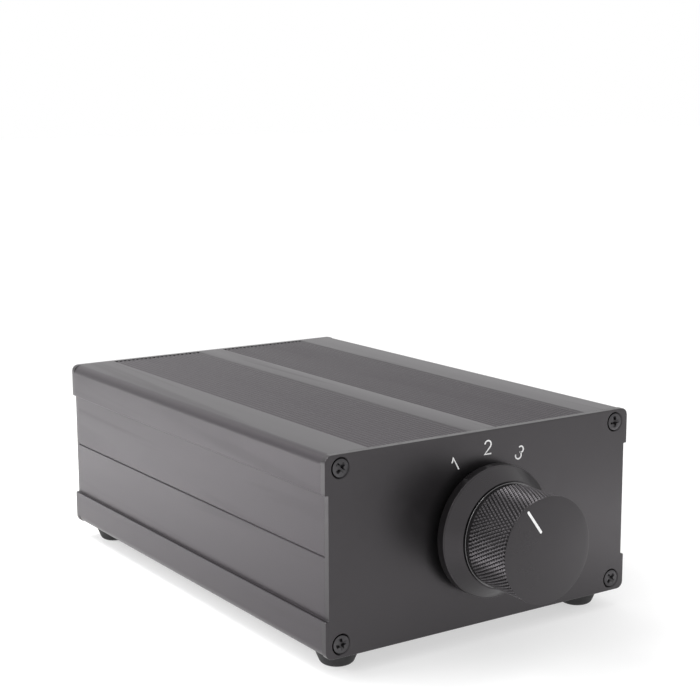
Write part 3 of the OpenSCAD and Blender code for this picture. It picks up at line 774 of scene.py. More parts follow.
def soften(bm: BMesh, verts: Sequence[BMVert], length: float, steps: int = SOFT_STEPS) -> None:
    """Rounds corners of an outline, or flattens points of a solid.

    Args:
        bm: The mesh that holds them.
        verts: The corners or points.
        length: How much of each edge the rounding takes.
        steps: Straight pieces in the rounding, 1 for a flat.
    """
    bmesh.ops.bevel(
        bm, geom=list(verts), offset=length, offset_type="OFFSET", segments=steps, profile=0.5,
        affect="VERTICES", material=-1,
    )


def outline(
    bm: BMesh, corners: Sequence[Corner], closed: bool = True, upright: bool = False
) -> list[BMEdge]:
    """Draws an outline with its corners rounded.

    Args:
        bm: The mesh to draw in, which may hold other shapes.
        corners: The corners in order.
        closed: Whether the last corner joins the first.
        upright: Draws in the XZ plane, as a half section to be turned, and not in XY.

    Returns:
        The outline's edges.
    """
    kept = set(bm.edges)
    verts = [bm.verts.new((c.x, 0.0, c.y) if upright else (c.x, c.y, 0.0)) for c in corners]
    for first, second in zip(verts, verts[1:]):
        bm.edges.new((first, second))
    if closed:
        bm.edges.new((verts[-1], verts[0]))
    for corner, vert in zip(corners, verts):
        if corner.soft > 0.0:
            soften(bm, [vert], corner.soft)
    return [edge for edge in bm.edges if edge not in kept]


def spun(bm: BMesh, steps: int) -> None:
    """Turns the half section in a mesh once round the Z axis.

    Args:
        bm: The mesh, which holds nothing else.
        steps: Faces round the axis.
    """
    bmesh.ops.spin(
        bm, geom=bm.verts[:] + bm.edges[:], cent=(0.0, 0.0, 0.0), axis=(0.0, 0.0, 1.0),
        angle=2 * math.pi, steps=steps, use_merge=True,
    )
    tidy(bm)


def turned(corners: Sequence[Corner], closed: bool = False, steps: int = ROUND_STEPS) -> BMesh:
    """Turns a half section round the Z axis.

    Args:
        corners: The half section, with x as the radius and y as the height.
        closed: Whether the section is a ring that doesn't reach the axis.
        steps: Faces round the axis.

    Returns:
        A new mesh.
    """
    bm = bmesh.new()
    outline(bm, corners, closed, upright=True)
    spun(bm, steps)
    return bm


def cylinder(radius: float, low: float, high: float) -> BMesh:
    """A plain bar round the Z axis, for cutting a hole.

    Args:
        radius: Its radius.
        low: Height of its lower end.
        high: Height of its upper end.

    Returns:
        A new mesh.
    """
    section = [Corner(0.0, low), Corner(radius, low), Corner(radius, high), Corner(0.0, high)]
    return turned(section, steps=HOLE_STEPS)


def circle_edges(bm: BMesh, radius: float, place: Matrix, steps: int = HOLE_STEPS) -> list[BMEdge]:
    """Draws a circle.

    Args:
        bm: The mesh to draw in.
        radius: The circle's radius.
        place: Its centre and plane.
        steps: Straight pieces in the circle.

    Returns:
        The circle's edges.
    """
    kept = set(bm.edges)
    bmesh.ops.create_circle(bm, cap_ends=False, radius=radius, segments=steps, matrix=place)
    return [edge for edge in bm.edges if edge not in kept]


def open_rim(bm: BMesh, height: float) -> list[BMEdge]:
    """The edges at a height that have a face on one side only."""
    return [
        edge for edge in bm.edges
        if edge.is_boundary and all(abs(vert.co.z - height) < WELD for vert in edge.verts)
    ]


def sunk(bm: BMesh, rim: Sequence[BMEdge], depth: float, taper: float = 1.0) -> None:
    """Sinks a closed pocket below a rim in the XY plane.

    Args:
        bm: The mesh that holds the rim.
        rim: The pocket's rim.
        depth: Depth of the pocket.
        taper: Width of the floor as a share of the rim's, about the Z axis.
    """
    floor = verts_of(bmesh.ops.extrude_edge_only(bm, edges=list(rim))["geom"])
    bmesh.ops.scale(bm, vec=(taper, taper, 1.0), verts=floor)
    bmesh.ops.translate(bm, vec=(0.0, 0.0, -depth), verts=floor)
    inside = set(floor)
    bmesh.ops.edgeloop_fill(bm, edges=[edge for edge in bm.edges if inside.issuperset(edge.verts)])


def cross_rim(bm: BMesh, arm: float, half_w: float, height: float, soft: float = 0.4) -> list[BMEdge]:
    """Draws the rim of a cross recess, turned by an eighth.

    Args:
        bm: The mesh to draw in.
        arm: Reach of each arm from the middle.
        half_w: Half width of an arm.
        height: Height of the rim.
        soft: Rounding of its corners, as a share of the half width.

    Returns:
        The rim's edges.
    """
    kept = set(bm.edges)
    corners = []
    for quarter in range(4):
        turn = Matrix.Rotation(math.radians(45 + 90 * quarter), 3, "Z")
        for x, y in ((arm, -half_w), (arm, half_w), (half_w, half_w)):
            corners.append(bm.verts.new(turn @ Vector((x, y, height))))
    for first, second in zip(corners, corners[1:] + corners[:1]):
        bm.edges.new((first, second))
    for vert in corners:
        soften(bm, [vert], half_w * soft, FINE_STEPS)
    return [edge for edge in bm.edges if edge not in kept]


def as_mesh(name: str, bm: BMesh) -> Mesh:
    """Turns a working mesh, which is freed, into mesh data."""
    mesh = bpy.data.meshes.new(name)
    bm.to_mesh(mesh)
    bm.free()
    return mesh


def in_scene(name: str, data: ID) -> Object:
    """Adds an object to the scene.

    Args:
        name: The object's name.
        data: Its mesh, lamp or lens.

    Returns:
        The new object.
    """
    made = bpy.data.objects.new(name, data)
    bpy.context.scene.collection.objects.link(made)
    return made


def repeated(shape: BMesh, places: Iterable[Matrix]) -> BMesh:
    """Copies a shape to several places.

    Args:
        shape: The shape, which is freed.
        places: Where the copies go.

    Returns:
        A new mesh with all the copies.
    """
    tidy(shape)
    mesh = as_mesh("repeated_shape", shape)
    group = bmesh.new()
    for place in places:
        copy = mesh.copy()
        copy.transform(place)
        group.from_mesh(copy)
        bpy.data.meshes.remove(copy)
    bpy.data.meshes.remove(mesh)
    return group


def piece(
    name: str, bm: BMesh, body: Body, finish: Finish, stands_for: Sequence[str] = (), even: bool = True,
    sharp: float = SHARP_ANGLE,
) -> Object:
    """Makes a finished piece of the object.

    Args:
        name: The piece's name.
        bm: Its mesh, in place, which is freed.
        body: The body that it rides on.
        finish: Its finish.
        stands_for: The solids that it hides.
        even: Whether large flat faces keep an even shading beside rounded edges.
        sharp: The angle from which an edge is shaded as sharp.

    Returns:
        The new object.
    """
    tidy(bm)
    mesh = as_mesh(name, bm)
    mesh.shade_smooth()
    mesh.set_sharp_from_angle(angle=sharp)
    made = in_scene(name, mesh)
    mesh.materials.append(finish.material())
    if even:
        shading = made.modifiers.new("even_shading", "WEIGHTED_NORMAL")
        shading.keep_sharp = True
    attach(made, body.value)
    if stands_for:
        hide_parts(*stands_for)
    log.info("%s: %d faces, rides on %s", name, len(mesh.polygons), body.value)
    return made


def drilled(target: Object, cutter: BMesh, sharp: float = SHARP_ANGLE) -> None:
    """Takes a cutter's volume out of a piece.

    Args:
        target: The piece.
        cutter: The closed shape to take out, which is freed.
        sharp: The angle from which an edge is shaded as sharp.
    """
    tidy(cutter)
    mesh = as_mesh("cutter", cutter)
    tool = in_scene("cutter", mesh)
    cut = target.modifiers.new("cut", "BOOLEAN")
    cut.operation = "DIFFERENCE"
    cut.solver = "EXACT"
    cut.object = tool
    target.modifiers.move(len(target.modifiers) - 1, 0)
    shading = [m for m in target.modifiers if m.type != "BOOLEAN"]
    for modifier in shading:
        modifier.show_viewport = False
    cut_mesh = bpy.data.meshes.new_from_object(target.evaluated_get(bpy.context.evaluated_depsgraph_get()))
    for modifier in shading:
        modifier.show_viewport = True
    target.modifiers.remove(cut)
    old = target.data
    target.data = cut_mesh
    cut_mesh.name = target.name
    cut_mesh.shade_smooth()
    cut_mesh.set_sharp_from_angle(angle=sharp)
    bpy.data.meshes.remove(old)
    bpy.data.objects.remove(tool)
    bpy.data.meshes.remove(mesh)


@dataclass
class CaseShells:
    """The two drawn shells that make the case between the panels."""

    band_h: float = BAND_H
    recess: float = SIDE_RECESS
    corner_r: float = 2.5 * MM
    band_soft: float = 0.25 * MM
    wall_t: float = 2 * MM
    roof_t: float = 2.4 * MM
    split: float = 0.3 * MM
    tongue_h: float = 1.2 * MM
    tongue_t: float = 0.9 * MM
    tongue_gap: float = 0.1 * MM
    rib_start: float = 4.5 * MM
    rib_pitch: float = 1.5 * MM
    rib_count: int = 21
    rib_depth: float = 0.45 * MM
    rib_soft: float = 0.2 * MM
    port_x: float = SCREW_X
    port_inset: float = SCREW_INSET
    port_r: float = 1.27 * MM
    boss_r: float = 2.67 * MM
    rail_w: float = 1.7 * MM
    rail_t: float = 1.2 * MM
    slot_low: float = 10.3 * MM
    slot_high: float = 12.1 * MM
    foot_screw_r: float = 1.27 * MM

    def build(self) -> None:
        """Builds and dresses both shells."""
        self.shell("upper_case_shell", "upper_shell", self.upper_half(), 1.0)
        lower = self.shell("lower_case_shell", "lower_shell", self.lower_half(), -1.0)
        hole = cylinder(self.foot_screw_r, -self.roof_t, 2 * self.roof_t)
        places = [Facing.UP.at(x, y, FRONT_LOW.z) for x, y in Feet.places()]
        drilled(lower, repeated(hole, places))

    @property
    def wall(self) -> float:
        """The inside of a side wall, from the middle."""
        return HALF_W - self.recess - self.wall_t

    @property
    def ribs_end(self) -> float:
        """Where a field of ribs ends, from the middle."""
        return self.rib_start + self.rib_count * self.rib_pitch

    def outer_corners(self, sign: float) -> list[Corner]:
        """The right half of the outside, from the band's corner to the line where the shells meet.

        Args:
            sign: 1 for the upper shell and -1 for the lower one.

        Returns:
            The corners in order.
        """
        ledge = sign * (HALF_H - self.band_h)
        side = HALF_W - self.recess
        return [
            Corner(HALF_W, sign * HALF_H, self.corner_r),
            Corner(HALF_W, ledge, self.band_soft),
            Corner(side, ledge, self.band_soft * INNER_SOFT),
            Corner(side, sign * self.split),
            Corner(side - self.split, 0.0),
        ]

    def inner_corners(self, sign: float) -> list[Corner]:
        """The right half of the inside, round the screw port to the middle.

        Args:
            sign: 1 for the upper shell and -1 for the lower one.

        Returns:
            The corners in order.
        """
        boss = sign * (HALF_H - self.port_inset - self.boss_r)
        roof = sign * (HALF_H - self.roof_t)
        inner = self.port_x - self.boss_r
        return [
            Corner(self.wall, boss),
            Corner(inner, boss, self.boss_r),
            Corner(inner, roof),
            Corner(0.0, roof),
        ]

    def upper_half(self) -> list[Corner]:
        """The upper shell's right half, with the groove for the tongue."""
        groove_x = self.wall + self.tongue_t + self.tongue_gap
        groove_z = self.tongue_h + self.tongue_gap
        return [
            Corner(0.0, HALF_H),
            Corner(self.rib_start, HALF_H),
            Corner(self.ribs_end, HALF_H),
            *self.outer_corners(1.0),
            Corner(groove_x, 0.0),
            Corner(groove_x, groove_z),
            Corner(self.wall, groove_z),
            *self.inner_corners(1.0),
        ]

    def lower_half(self) -> list[Corner]:
        """The lower shell's right half, with the tongue and the rails of the main board."""
        tongue_x = self.wall + self.tongue_t
        rail_x = self.wall - self.rail_w
        low = self.slot_low - HALF_H
        high = self.slot_high - HALF_H
        return [
            Corner(0.0, -HALF_H),
            *self.outer_corners(-1.0),
            Corner(tongue_x, 0.0),
            Corner(tongue_x, self.tongue_h),
            Corner(self.wall, self.tongue_h),
            Corner(self.wall, high + self.rail_t),
            Corner(rail_x, high + self.rail_t),
            Corner(rail_x, high),
            Corner(self.wall, high),
            Corner(self.wall, low),
            Corner(rail_x, low),
            Corner(rail_x, low - self.rail_t),
            Corner(self.wall, low - self.rail_t),
            *self.inner_corners(-1.0),
        ]

    def ribbed(self, bm: BMesh) -> None:
        """Draws the ribs into the top of a half outline.

        Args:
            bm: The mesh that holds the half outline.
        """
        flat = [
            edge for edge in bm.edges
            if all(
                abs(vert.co.y - HALF_H) < WELD
                and self.rib_start - WELD < vert.co.x < self.ribs_end + WELD
                for vert in edge.verts
            )
        ]
        if not flat:
            return
        made = bmesh.ops.subdivide_edges(bm, edges=flat, cuts=2 * self.rib_count - 1)
        inner = sorted(verts_of(made["geom_inner"]), key=lambda vert: vert.co.x)
        bmesh.ops.translate(bm, vec=(0.0, -self.rib_depth, 0.0), verts=inner[0::2])
        for crest in inner[1::2]:
            soften(bm, [crest], self.rib_soft, FINE_STEPS)

    def shell(self, name: str, node: str, half: Sequence[Corner], sign: float) -> Object:
        """Builds one shell.

        Args:
            name: The piece's name.
            node: The solid that it stands for.
            half: The right half of its section, from the middle of its outside to the middle of its inside.
            sign: 1 for the upper shell and -1 for the lower one.

        Returns:
            The new object.
        """
        bm = bmesh.new()
        outline(bm, half, closed=False)
        self.ribbed(bm)
        bmesh.ops.mirror(
            bm, geom=bm.verts[:] + bm.edges[:], matrix=Matrix.Identity(4), merge_dist=WELD, axis="X"
        )
        bmesh.ops.remove_doubles(bm, verts=bm.verts[:], dist=WELD)
        rims = bm.edges[:]
        for side in (-1.0, 1.0):
            place = Matrix.Translation((side * self.port_x, sign * (HALF_H - self.port_inset), 0.0))
            rims += circle_edges(bm, self.port_r, place, PORT_STEPS)
        section = bmesh.ops.triangle_fill(bm, edges=rims, use_beauty=True, normal=(0.0, 0.0, 1.0))["geom"]
        faces = [item for item in section if isinstance(item, BMFace)]
        extruded(bm, faces, REAR_LOW.y - FRONT_HIGH.y)
        bmesh.ops.transform(bm, matrix=Facing.FRONT.at(0.0, REAR_LOW.y, MID_Z), verts=bm.verts[:])
        return piece(name, bm, Body.CASE, CASE_BLACK, [node])


@dataclass
class EndPanels:
    """The front and rear panels, cut to the case's outline."""

    band_h: float = BAND_H
    recess: float = SIDE_RECESS
    corner_r: float = 2 * MM
    notch_soft: float = 0.3 * MM
    rim_soft: float = 0.22 * MM
    seam_soft: float = 0.05 * MM
    rim_steps: int = 3
    screw_x: float = SCREW_X
    screw_inset: float = SCREW_INSET
    screw_hole_r: float = 1.45 * MM
    sink_r: float = 2.85 * MM
    bushing_hole_r: float = 4.6 * MM
    socket_hole_r: float = 5 * MM
    block_hole_r: float = 1.5 * MM
    mouth: float = 0.12 * MM

    def build(self) -> None:
        """Builds and dresses both panels."""
        front = Facing.FRONT.at(0.0, FRONT_Y, MID_Z)
        rear = Facing.REAR.at(0.0, REAR_Y, MID_Z)
        bushing = [self.plain_bore(0.0, MID_Z, self.bushing_hole_r)]
        self.panel("front_plate", "front_panel", front, self.screw_bores() + bushing)
        sockets = [
            self.plain_bore(x, z, self.socket_hole_r)
            for x in PhonoSockets.columns() for z in PhonoSockets.rows()
        ]
        blocks = [self.plain_bore(x, MID_Z, self.block_hole_r) for x in PhonoSockets.columns()]
        self.panel("rear_plate", "rear_panel", rear, self.screw_bores() + sockets + blocks)

    def plain_bore(self, x: float, z: float, radius: float) -> Bore:
        """A straight hole with a broken edge."""
        return Bore(Vector((x, 0.0, z)), radius, radius + self.mouth)

    def screw_bores(self) -> list[Bore]:
        """The four countersunk holes at the corners."""
        height = HALF_H - self.screw_inset
        return [
            Bore(Vector((x, 0.0, MID_Z + z)), self.screw_hole_r, self.sink_r)
            for x in (-self.screw_x, self.screw_x) for z in (-height, height)
        ]

    def corners(self) -> list[Corner]:
        """The panel's outline about its middle: bands at top and bottom, set back between them."""
        quarter = [
            Corner(HALF_W, HALF_H, self.corner_r),
            Corner(HALF_W, HALF_H - self.band_h, self.notch_soft),
            Corner(HALF_W - self.recess, HALF_H - self.band_h, self.notch_soft * INNER_SOFT),
        ]
        right = quarter + [Corner(c.x, -c.y, c.soft) for c in reversed(quarter)]
        return right + [Corner(-c.x, c.y, c.soft) for c in reversed(right)]

    def panel(self, name: str, node: str, place: Matrix, bores: Sequence[Bore]) -> None:
        """Builds one panel, with its outer face at z = 0 of its place.

        Args:
            name: The piece's name.
            node: The solid that it stands for.
            place: Where its outer face lies.
            bores: Its holes.
        """
        bm = bmesh.new()
        face = bmesh.ops.edgeloop_fill(bm, edges=outline(bm, self.corners()))["faces"]
        extruded(bm, face, -PANEL_T)
        tidy(bm)
        for height, soft in ((0.0, self.rim_soft), (-PANEL_T, self.seam_soft)):
            rim = [e for e in bm.edges if all(abs(v.co.z - height) < WELD for v in e.verts)]
            bmesh.ops.bevel(
                bm, geom=rim, offset=soft, offset_type="OFFSET", segments=self.rim_steps, profile=0.5,
                affect="EDGES", material=-1,
            )
        self.pierce(bm, [self.local(bore, place) for bore in bores])
        bmesh.ops.transform(bm, matrix=place, verts=bm.verts[:])
        piece(name, bm, Body.CASE, PANEL_BLACK, [node])

    @staticmethod
    def local(bore: Bore, place: Matrix) -> Bore:
        """The same hole in the plane of a panel that hasn't been placed."""
        spot = place.inverted() @ Vector((bore.place.x, place.translation.y, bore.place.z))
        return replace(bore, place=spot)

    def pierce(self, bm: BMesh, bores: Sequence[Bore]) -> None:
        """Opens round holes in a plate from z = 0 down to its underside.

        Args:
            bm: The plate, whose outer and inner faces are each one face.
            bores: The holes, in the plate's own plane.
        """
        bm.normal_update()
        caps = sorted(bm.faces, key=lambda f: f.calc_area())[-2:]
        outer, inner = sorted(caps, key=lambda f: -f.calc_center_median().z)
        rims = {"outer": list(outer.edges), "inner": list(inner.edges)}
        bmesh.ops.delete(bm, geom=caps, context="FACES_ONLY")
        for bore in bores:
            stations = [(bore.mouth, 0.0), (bore.radius, bore.mouth - bore.radius), (bore.radius, PANEL_T)]
            loops = [
                circle_edges(bm, radius, Matrix.Translation((bore.place.x, bore.place.y, -depth)))
                for radius, depth in stations
            ]
            for upper, lower in zip(loops, loops[1:]):
                bmesh.ops.bridge_loops(bm, edges=upper + lower)
            rims["outer"] += loops[0]
            rims["inner"] += loops[-1]
        for edges in rims.values():
            bmesh.ops.triangle_fill(bm, edges=edges, use_beauty=True)


@dataclass
class Screws:
    """The screws that show: countersunk at the panels' corners, pan heads at the sockets and feet.

    The fields that start with pan are shares of a pan head's radius or height, and rim_share is the
    part of the rim that its rounding takes.
    """

    thread_r: float = 1.25 * MM
    head_r: float = 2.35 * MM
    rim: float = 0.16 * MM
    rim_share: float = 0.3
    length: float = 12 * MM
    sunk_by: float = 0.02 * MM
    turns: tuple[float, ...] = (math.radians(-30), 0.0, 0.0, math.radians(-40))
    cross_arm: float = 1.6 * MM
    cross_half_w: float = 0.5 * MM
    cross_depth: float = 0.8 * MM
    cross_taper: float = 0.55
    pan_flat: float = 0.72
    pan_shoulder: float = 0.86
    pan_soft: float = 0.25
    pan_cross_arm: float = 0.55
    pan_cross_half_w: float = 0.13
    pan_cross_depth: float = 0.6
    block_r: float = 1.3 * MM
    block_head_r: float = 2.2 * MM
    block_head_t: float = 1.5 * MM
    block_length: float = 8 * MM
    foot_r: float = 1.25 * MM
    foot_head_r: float = 2.4 * MM
    foot_head_t: float = 1.7 * MM
    foot_length: float = 6 * MM
    foot_seat: float = 2.4 * MM

    def build(self) -> None:
        """Builds and dresses every screw."""
        spots = [(bore.place.x, bore.place.z) for bore in EndPanels().screw_bores()]
        turns = [Matrix.Rotation(turn, 4, "Z") for turn in self.turns]
        for side, facing, head_y in (
            ("front", Facing.FRONT, FRONT_Y + self.sunk_by),
            ("rear", Facing.REAR, REAR_Y - self.sunk_by),
        ):
            places = [facing.at(x, head_y, z) @ turn for (x, z), turn in zip(spots, turns)]
            screws = repeated(self.countersunk(), places)
            piece(f"{side}_panel_screws", screws, Body.CASE, SCREW_BLACK, [f"{side}_screws"])
        blocks = [Facing.REAR.at(x, REAR_Y, MID_Z) for x in PhonoSockets.columns()]
        block = self.pan(self.block_r, self.block_head_r, self.block_head_t, self.block_length)
        piece("socket_block_screws", repeated(block, blocks), Body.CASE, SCREW_BLACK, ["jack_screws"])
        feet = [Facing.DOWN.at(x, y, self.foot_seat) for x, y in Feet.places()]
        foot = self.pan(self.foot_r, self.foot_head_r, self.foot_head_t, self.foot_length)
        piece("foot_fixing_screws", repeated(foot, feet), Body.CASE, STEEL, ["foot_screws"])

    def crossed(self, bm: BMesh, height: float, arm: float, half_w: float, depth: float) -> None:
        """Closes a screw head's open top with a cross recess.

        Args:
            bm: The screw, open at the top of its head.
            height: Height of that opening.
            arm: Reach of the recess.
            half_w: Half width of its arms.
            depth: Its depth.
        """
        rim = open_rim(bm, height)
        cross = cross_rim(bm, arm, half_w, height)
        bmesh.ops.triangle_fill(bm, edges=rim + cross, use_beauty=True, normal=(0.0, 0.0, 1.0))
        sunk(bm, cross, depth, self.cross_taper)

    def countersunk(self) -> BMesh:
        """A countersunk screw with the face of its head at z = 0."""
        cone_end = self.thread_r - self.head_r
        bm = turned(
            [
                Corner(self.head_r - self.rim, 0.0),
                Corner(self.head_r, -self.rim / 2, self.rim * self.rim_share),
                Corner(self.head_r, -self.rim),
                Corner(self.thread_r, cone_end - self.rim),
                Corner(self.thread_r, -self.length, self.rim),
                Corner(0.0, -self.length),
            ]
        )
        self.crossed(bm, 0.0, self.cross_arm, self.cross_half_w, self.cross_depth)
        return bm

    def pan(self, r: float, head_r: float, head_t: float, length: float) -> BMesh:
        """A pan head screw with the underside of its head at z = 0.

        Args:
            r: Thread radius.
            head_r: Head radius.
            head_t: Head height.
            length: Length under the head.

        Returns:
            A new mesh.
        """
        bm = turned(
            [
                Corner(head_r * self.pan_flat, head_t),
                Corner(head_r, head_t * self.pan_shoulder, head_t * self.pan_soft),
                Corner(head_r, 0.0, self.rim),
                Corner(r, 0.0),
                Corner(r, -length, self.rim),
                Corner(0.0, -length),
            ]
        )
        arm = head_r * self.pan_cross_arm
        self.crossed(bm, head_t, arm, head_r * self.pan_cross_half_w, head_t * self.pan_cross_depth)
        return bm


@dataclass
class Feet:
    """Four tapered rubber feet with their washers."""

    NODES: ClassVar[tuple[str, ...]] = (
        "foot_front_left", "foot_front_right", "foot_rear_left", "foot_rear_right",
    )

    bottom_r: float = 4.2 * MM
    bottom_soft: float = 1.06 * MM
    bore_r: float = 2.6 * MM
    bore_depth: float = 3 * MM
    hole_r: float = 1.45 * MM
    lip_soft: float = 0.15 * MM
    washer_r: float = 2.5 * MM
    washer_t: float = 0.6 * MM
    washer_soft: float = 0.08 * MM

    @classmethod
    def places(cls) -> list[tuple[float, float]]:
        """Centre of each foot, in the order of their solids."""
        boxes = [solid_box(node) for node in cls.NODES]
        return [((low.x + high.x) / 2, (low.y + high.y) / 2) for low, high in boxes]

    def build(self) -> None:
        """Builds and dresses the feet and washers."""
        for node, (x, y) in zip(self.NODES, self.places()):
            foot = repeated(self.foot(node), [Facing.UP.at(x, y, 0.0)])
            piece(f"rubber_{node}", foot, Body.CASE, RUBBER, [node])
        washer = turned(
            [
                Corner(self.hole_r, 0.0, self.washer_soft), Corner(self.washer_r, 0.0, self.washer_soft),
                Corner(self.washer_r, self.washer_t, self.washer_soft),
                Corner(self.hole_r, self.washer_t, self.washer_soft),
            ],
            closed=True,
        )
        places = [Facing.UP.at(x, y, self.bore_depth - self.washer_t) for x, y in self.places()]
        piece("foot_fixing_washers", repeated(washer, places), Body.CASE, STEEL, ["foot_washers"])

    def foot(self, node: str) -> BMesh:
        """One foot with its underside at z = 0.

        Args:
            node: The solid whose top radius and height it takes.

        Returns:
            A new mesh.
        """
        low, high = solid_box(node)
        top_r = (high.x - low.x) / 2
        height = high.z - low.z
        return turned(
            [
                Corner(self.bore_r, 0.0, self.lip_soft),
                Corner(self.bottom_r, 0.0, self.bottom_soft),
                Corner(top_r, height, self.lip_soft),
                Corner(self.hole_r, height),
                Corner(self.hole_r, self.bore_depth),
                Corner(self.bore_r, self.bore_depth),
            ],
            closed=True,
        )


@dataclass
class Knob:
    """The turned knob with its conical skirt, diamond knurl and index line.

    Stations are distances in front of the panel.
    """

    flange_r: float = 17.7 * MM
    flange_back: float = 2.4 * MM
    flange_front: float = 4.9 * MM
    skirt_back_r: float = 17.4 * MM
    skirt_front_r: float = 14.3 * MM
    groove_back: float = 8.6 * MM
    groove_front: float = COLLAR_BACK
    groove_r: float = 13 * MM
    collar_r: float = 13.95 * MM
    collar_front: float = COLLAR_FRONT
    grip_r: float = GRIP_R
    face: float = 25 * MM
    crown: float = 0.5 * MM
    crown_rings: int = 10
    lip: float = 0.12 * MM
    recess_r: float = 8.8 * MM
    recess_end: float = 6.2 * MM
    bore_r: float = 3.02 * MM
    bore_end: float = 20.35 * MM
    edge_soft: float = 0.1 * MM
    ring_soft: float = 0.14 * MM
    lip_soft: float = 0.27 * MM
    knurl_count: int = 84
    knurl_rows: int = 15
    knurl_depth: float = KNURL_DEPTH
    knurl_margin: float = 0.12 * MM
    knurl_flat: float = 0.2 * MM
    index_w: float = 0.7 * MM
    index_len: float = 7.4 * MM
    index_end: float = 13 * MM
    index_depth: float = 0.6 * MM
    index_gap: float = 0.02 * MM
    index_lean: float = math.radians(5)
    index_round: float = 0.9
    grub_r: float = 1.55 * MM
    grub_station: float = 15 * MM
    first_turn: float = POSITION_STEP

    def place(self) -> Matrix:
        """Where the knob sits, turned to its first position."""
        return Facing.FRONT.at(0.0, FRONT_Y, MID_Z) @ Matrix.Rotation(self.first_turn, 4, "Z")

    def build(self) -> None:
        """Builds and dresses the knob and its index line."""
        bm = self.body()
        self.knurled(bm)
        bmesh.ops.transform(bm, matrix=self.place(), verts=bm.verts[:])
        knob = piece("selector_knob", bm, Body.SELECTOR, KNOB_BLACK, ["knob"], sharp=KNURL_ANGLE)
        drilled(knob, self.grub_hole(), KNURL_ANGLE)
        drilled(knob, self.index_bar(self.index_gap, self.index_depth, self.crown), KNURL_ANGLE)
        line = self.index_bar(0.0, self.index_depth - self.index_gap, -self.index_gap)
        piece("knob_index_line", line, Body.SELECTOR, WHITE_PAINT, ["knob_index"])

    def knurl_span(self) -> tuple[float, float]:
        """The stations where the knurl starts and ends."""
        return self.collar_front + self.knurl_margin, self.face - self.crown - self.lip - self.knurl_margin

    def crown_at(self, radius: float) -> float:
        """The station of the slightly domed face at a distance from the axis."""
        return self.face - self.crown * (radius / self.grip_r) ** 2

    def body(self) -> BMesh:
        """The turned body with rows for the knurl."""
        root = self.grip_r - self.knurl_depth
        back, front = self.knurl_span()
        rim = self.grip_r - self.lip
        bm = bmesh.new()
        radii = [rim * ring / self.crown_rings for ring in range(self.crown_rings + 1)]
        outline(
            bm,
            [
                *(Corner(radius, self.crown_at(radius)) for radius in radii),
                Corner(self.grip_r, self.face - self.crown - self.lip / 2),
                Corner(self.grip_r, self.face - self.crown - self.lip),
                Corner(root, front),
                Corner(root, back),
                Corner(root, self.collar_front),
                Corner(self.collar_r, self.collar_front, self.ring_soft),
                Corner(self.collar_r, self.groove_front, self.ring_soft),
                Corner(self.groove_r, self.groove_front),
                Corner(self.groove_r, self.groove_back),
                Corner(self.skirt_front_r, self.groove_back, self.edge_soft),
                Corner(self.skirt_back_r, self.flange_front),
                Corner(self.flange_r, self.flange_front, self.lip_soft),
                Corner(self.flange_r, self.flange_back, self.edge_soft),
                Corner(self.recess_r, self.flange_back, self.edge_soft),
                Corner(self.recess_r, self.recess_end),
                Corner(self.bore_r, self.recess_end),
                Corner(self.bore_r, self.bore_end),
                Corner(0.0, self.bore_end),
            ],
            closed=False,
            upright=True,
        )
        grip = [e for e in bm.edges if abs(e.calc_length() - (front - back)) < WELD]
        bmesh.ops.subdivide_edges(bm, edges=grip, cuts=self.knurl_rows - 1)
        spun(bm, 2 * self.knurl_count)
        return bm

    def knurled(self, bm: BMesh) -> None:
        """Raises a diamond knurl on the grip: every second point becomes the tip of a pyramid.

        Args:
            bm: The turned body.
        """
        root = self.grip_r - self.knurl_depth
        back, front = self.knurl_span()
        row_h = (front - back) / self.knurl_rows
        column = math.pi / self.knurl_count
        tips = []
        for vert in bm.verts:
            on_grip = abs(vert.co.xy.length - root) < NEAR
            if on_grip and back + row_h / 2 < vert.co.z < front - row_h / 2:
                step = round((vert.co.z - back) / row_h) + round(math.atan2(vert.co.y, vert.co.x) / column)
                if step % 2 == 0:
                    tips.append(vert)
        raised = set(tips)
        for face in dict.fromkeys(face for tip in tips for face in tip.link_faces):
            corners = list(face.verts)
            peak = next(i for i, vert in enumerate(corners) if vert in raised)
            bmesh.utils.face_split(face, corners[(peak + 1) % len(corners)], corners[peak - 1])
        for tip in tips:
            tip.co.xy *= self.grip_r / root
        soften(bm, tips, self.knurl_flat, steps=1)

    def index_bar(self, gap: float, depth: float, rise: float) -> BMesh:
        """A bar with round ends along the index line, which follows the slope of the face.

        Args:
            gap: How much wider it is than the line, all round.
            depth: How far it reaches below the face.
            rise: How far it reaches above the face.

        Returns:
            A new mesh in place.
        """
        half = self.index_w / 2 + gap
        reach = self.index_len / 2 + gap
        spots = ((-half, -reach), (half, -reach), (half, reach), (-half, reach))
        bm = bmesh.new()
        edges = outline(bm, [Corner(x, y, half * self.index_round) for x, y in spots])
        face = bmesh.ops.edgeloop_fill(bm, edges=edges)["faces"]
        bmesh.ops.translate(bm, vec=(0.0, 0.0, rise), verts=bm.verts[:])
        extruded(bm, face, -depth - rise)
        inner = self.index_end - self.index_len
        middle = (inner + self.index_end) / 2
        slope = math.atan((self.crown_at(self.index_end) - self.crown_at(inner)) / self.index_len)
        seat = (
            Matrix.Translation((0.0, middle, self.crown_at(middle)))
            @ Matrix.Rotation(slope, 4, "X")
            @ Matrix.Rotation(self.index_lean, 4, "Z")
        )
        bmesh.ops.transform(bm, matrix=self.place() @ seat, verts=bm.verts[:])
        return bm

    def grub_hole(self) -> BMesh:
        """The radial hole for the grub screw, opposite the index line."""
        bm = cylinder(self.grub_r, 0.0, self.flange_r)
        across = Facing.FRONT.at(0.0, 0.0, self.grub_station)
        bmesh.ops.transform(bm, matrix=self.place() @ across, verts=bm.verts[:])
        return bm


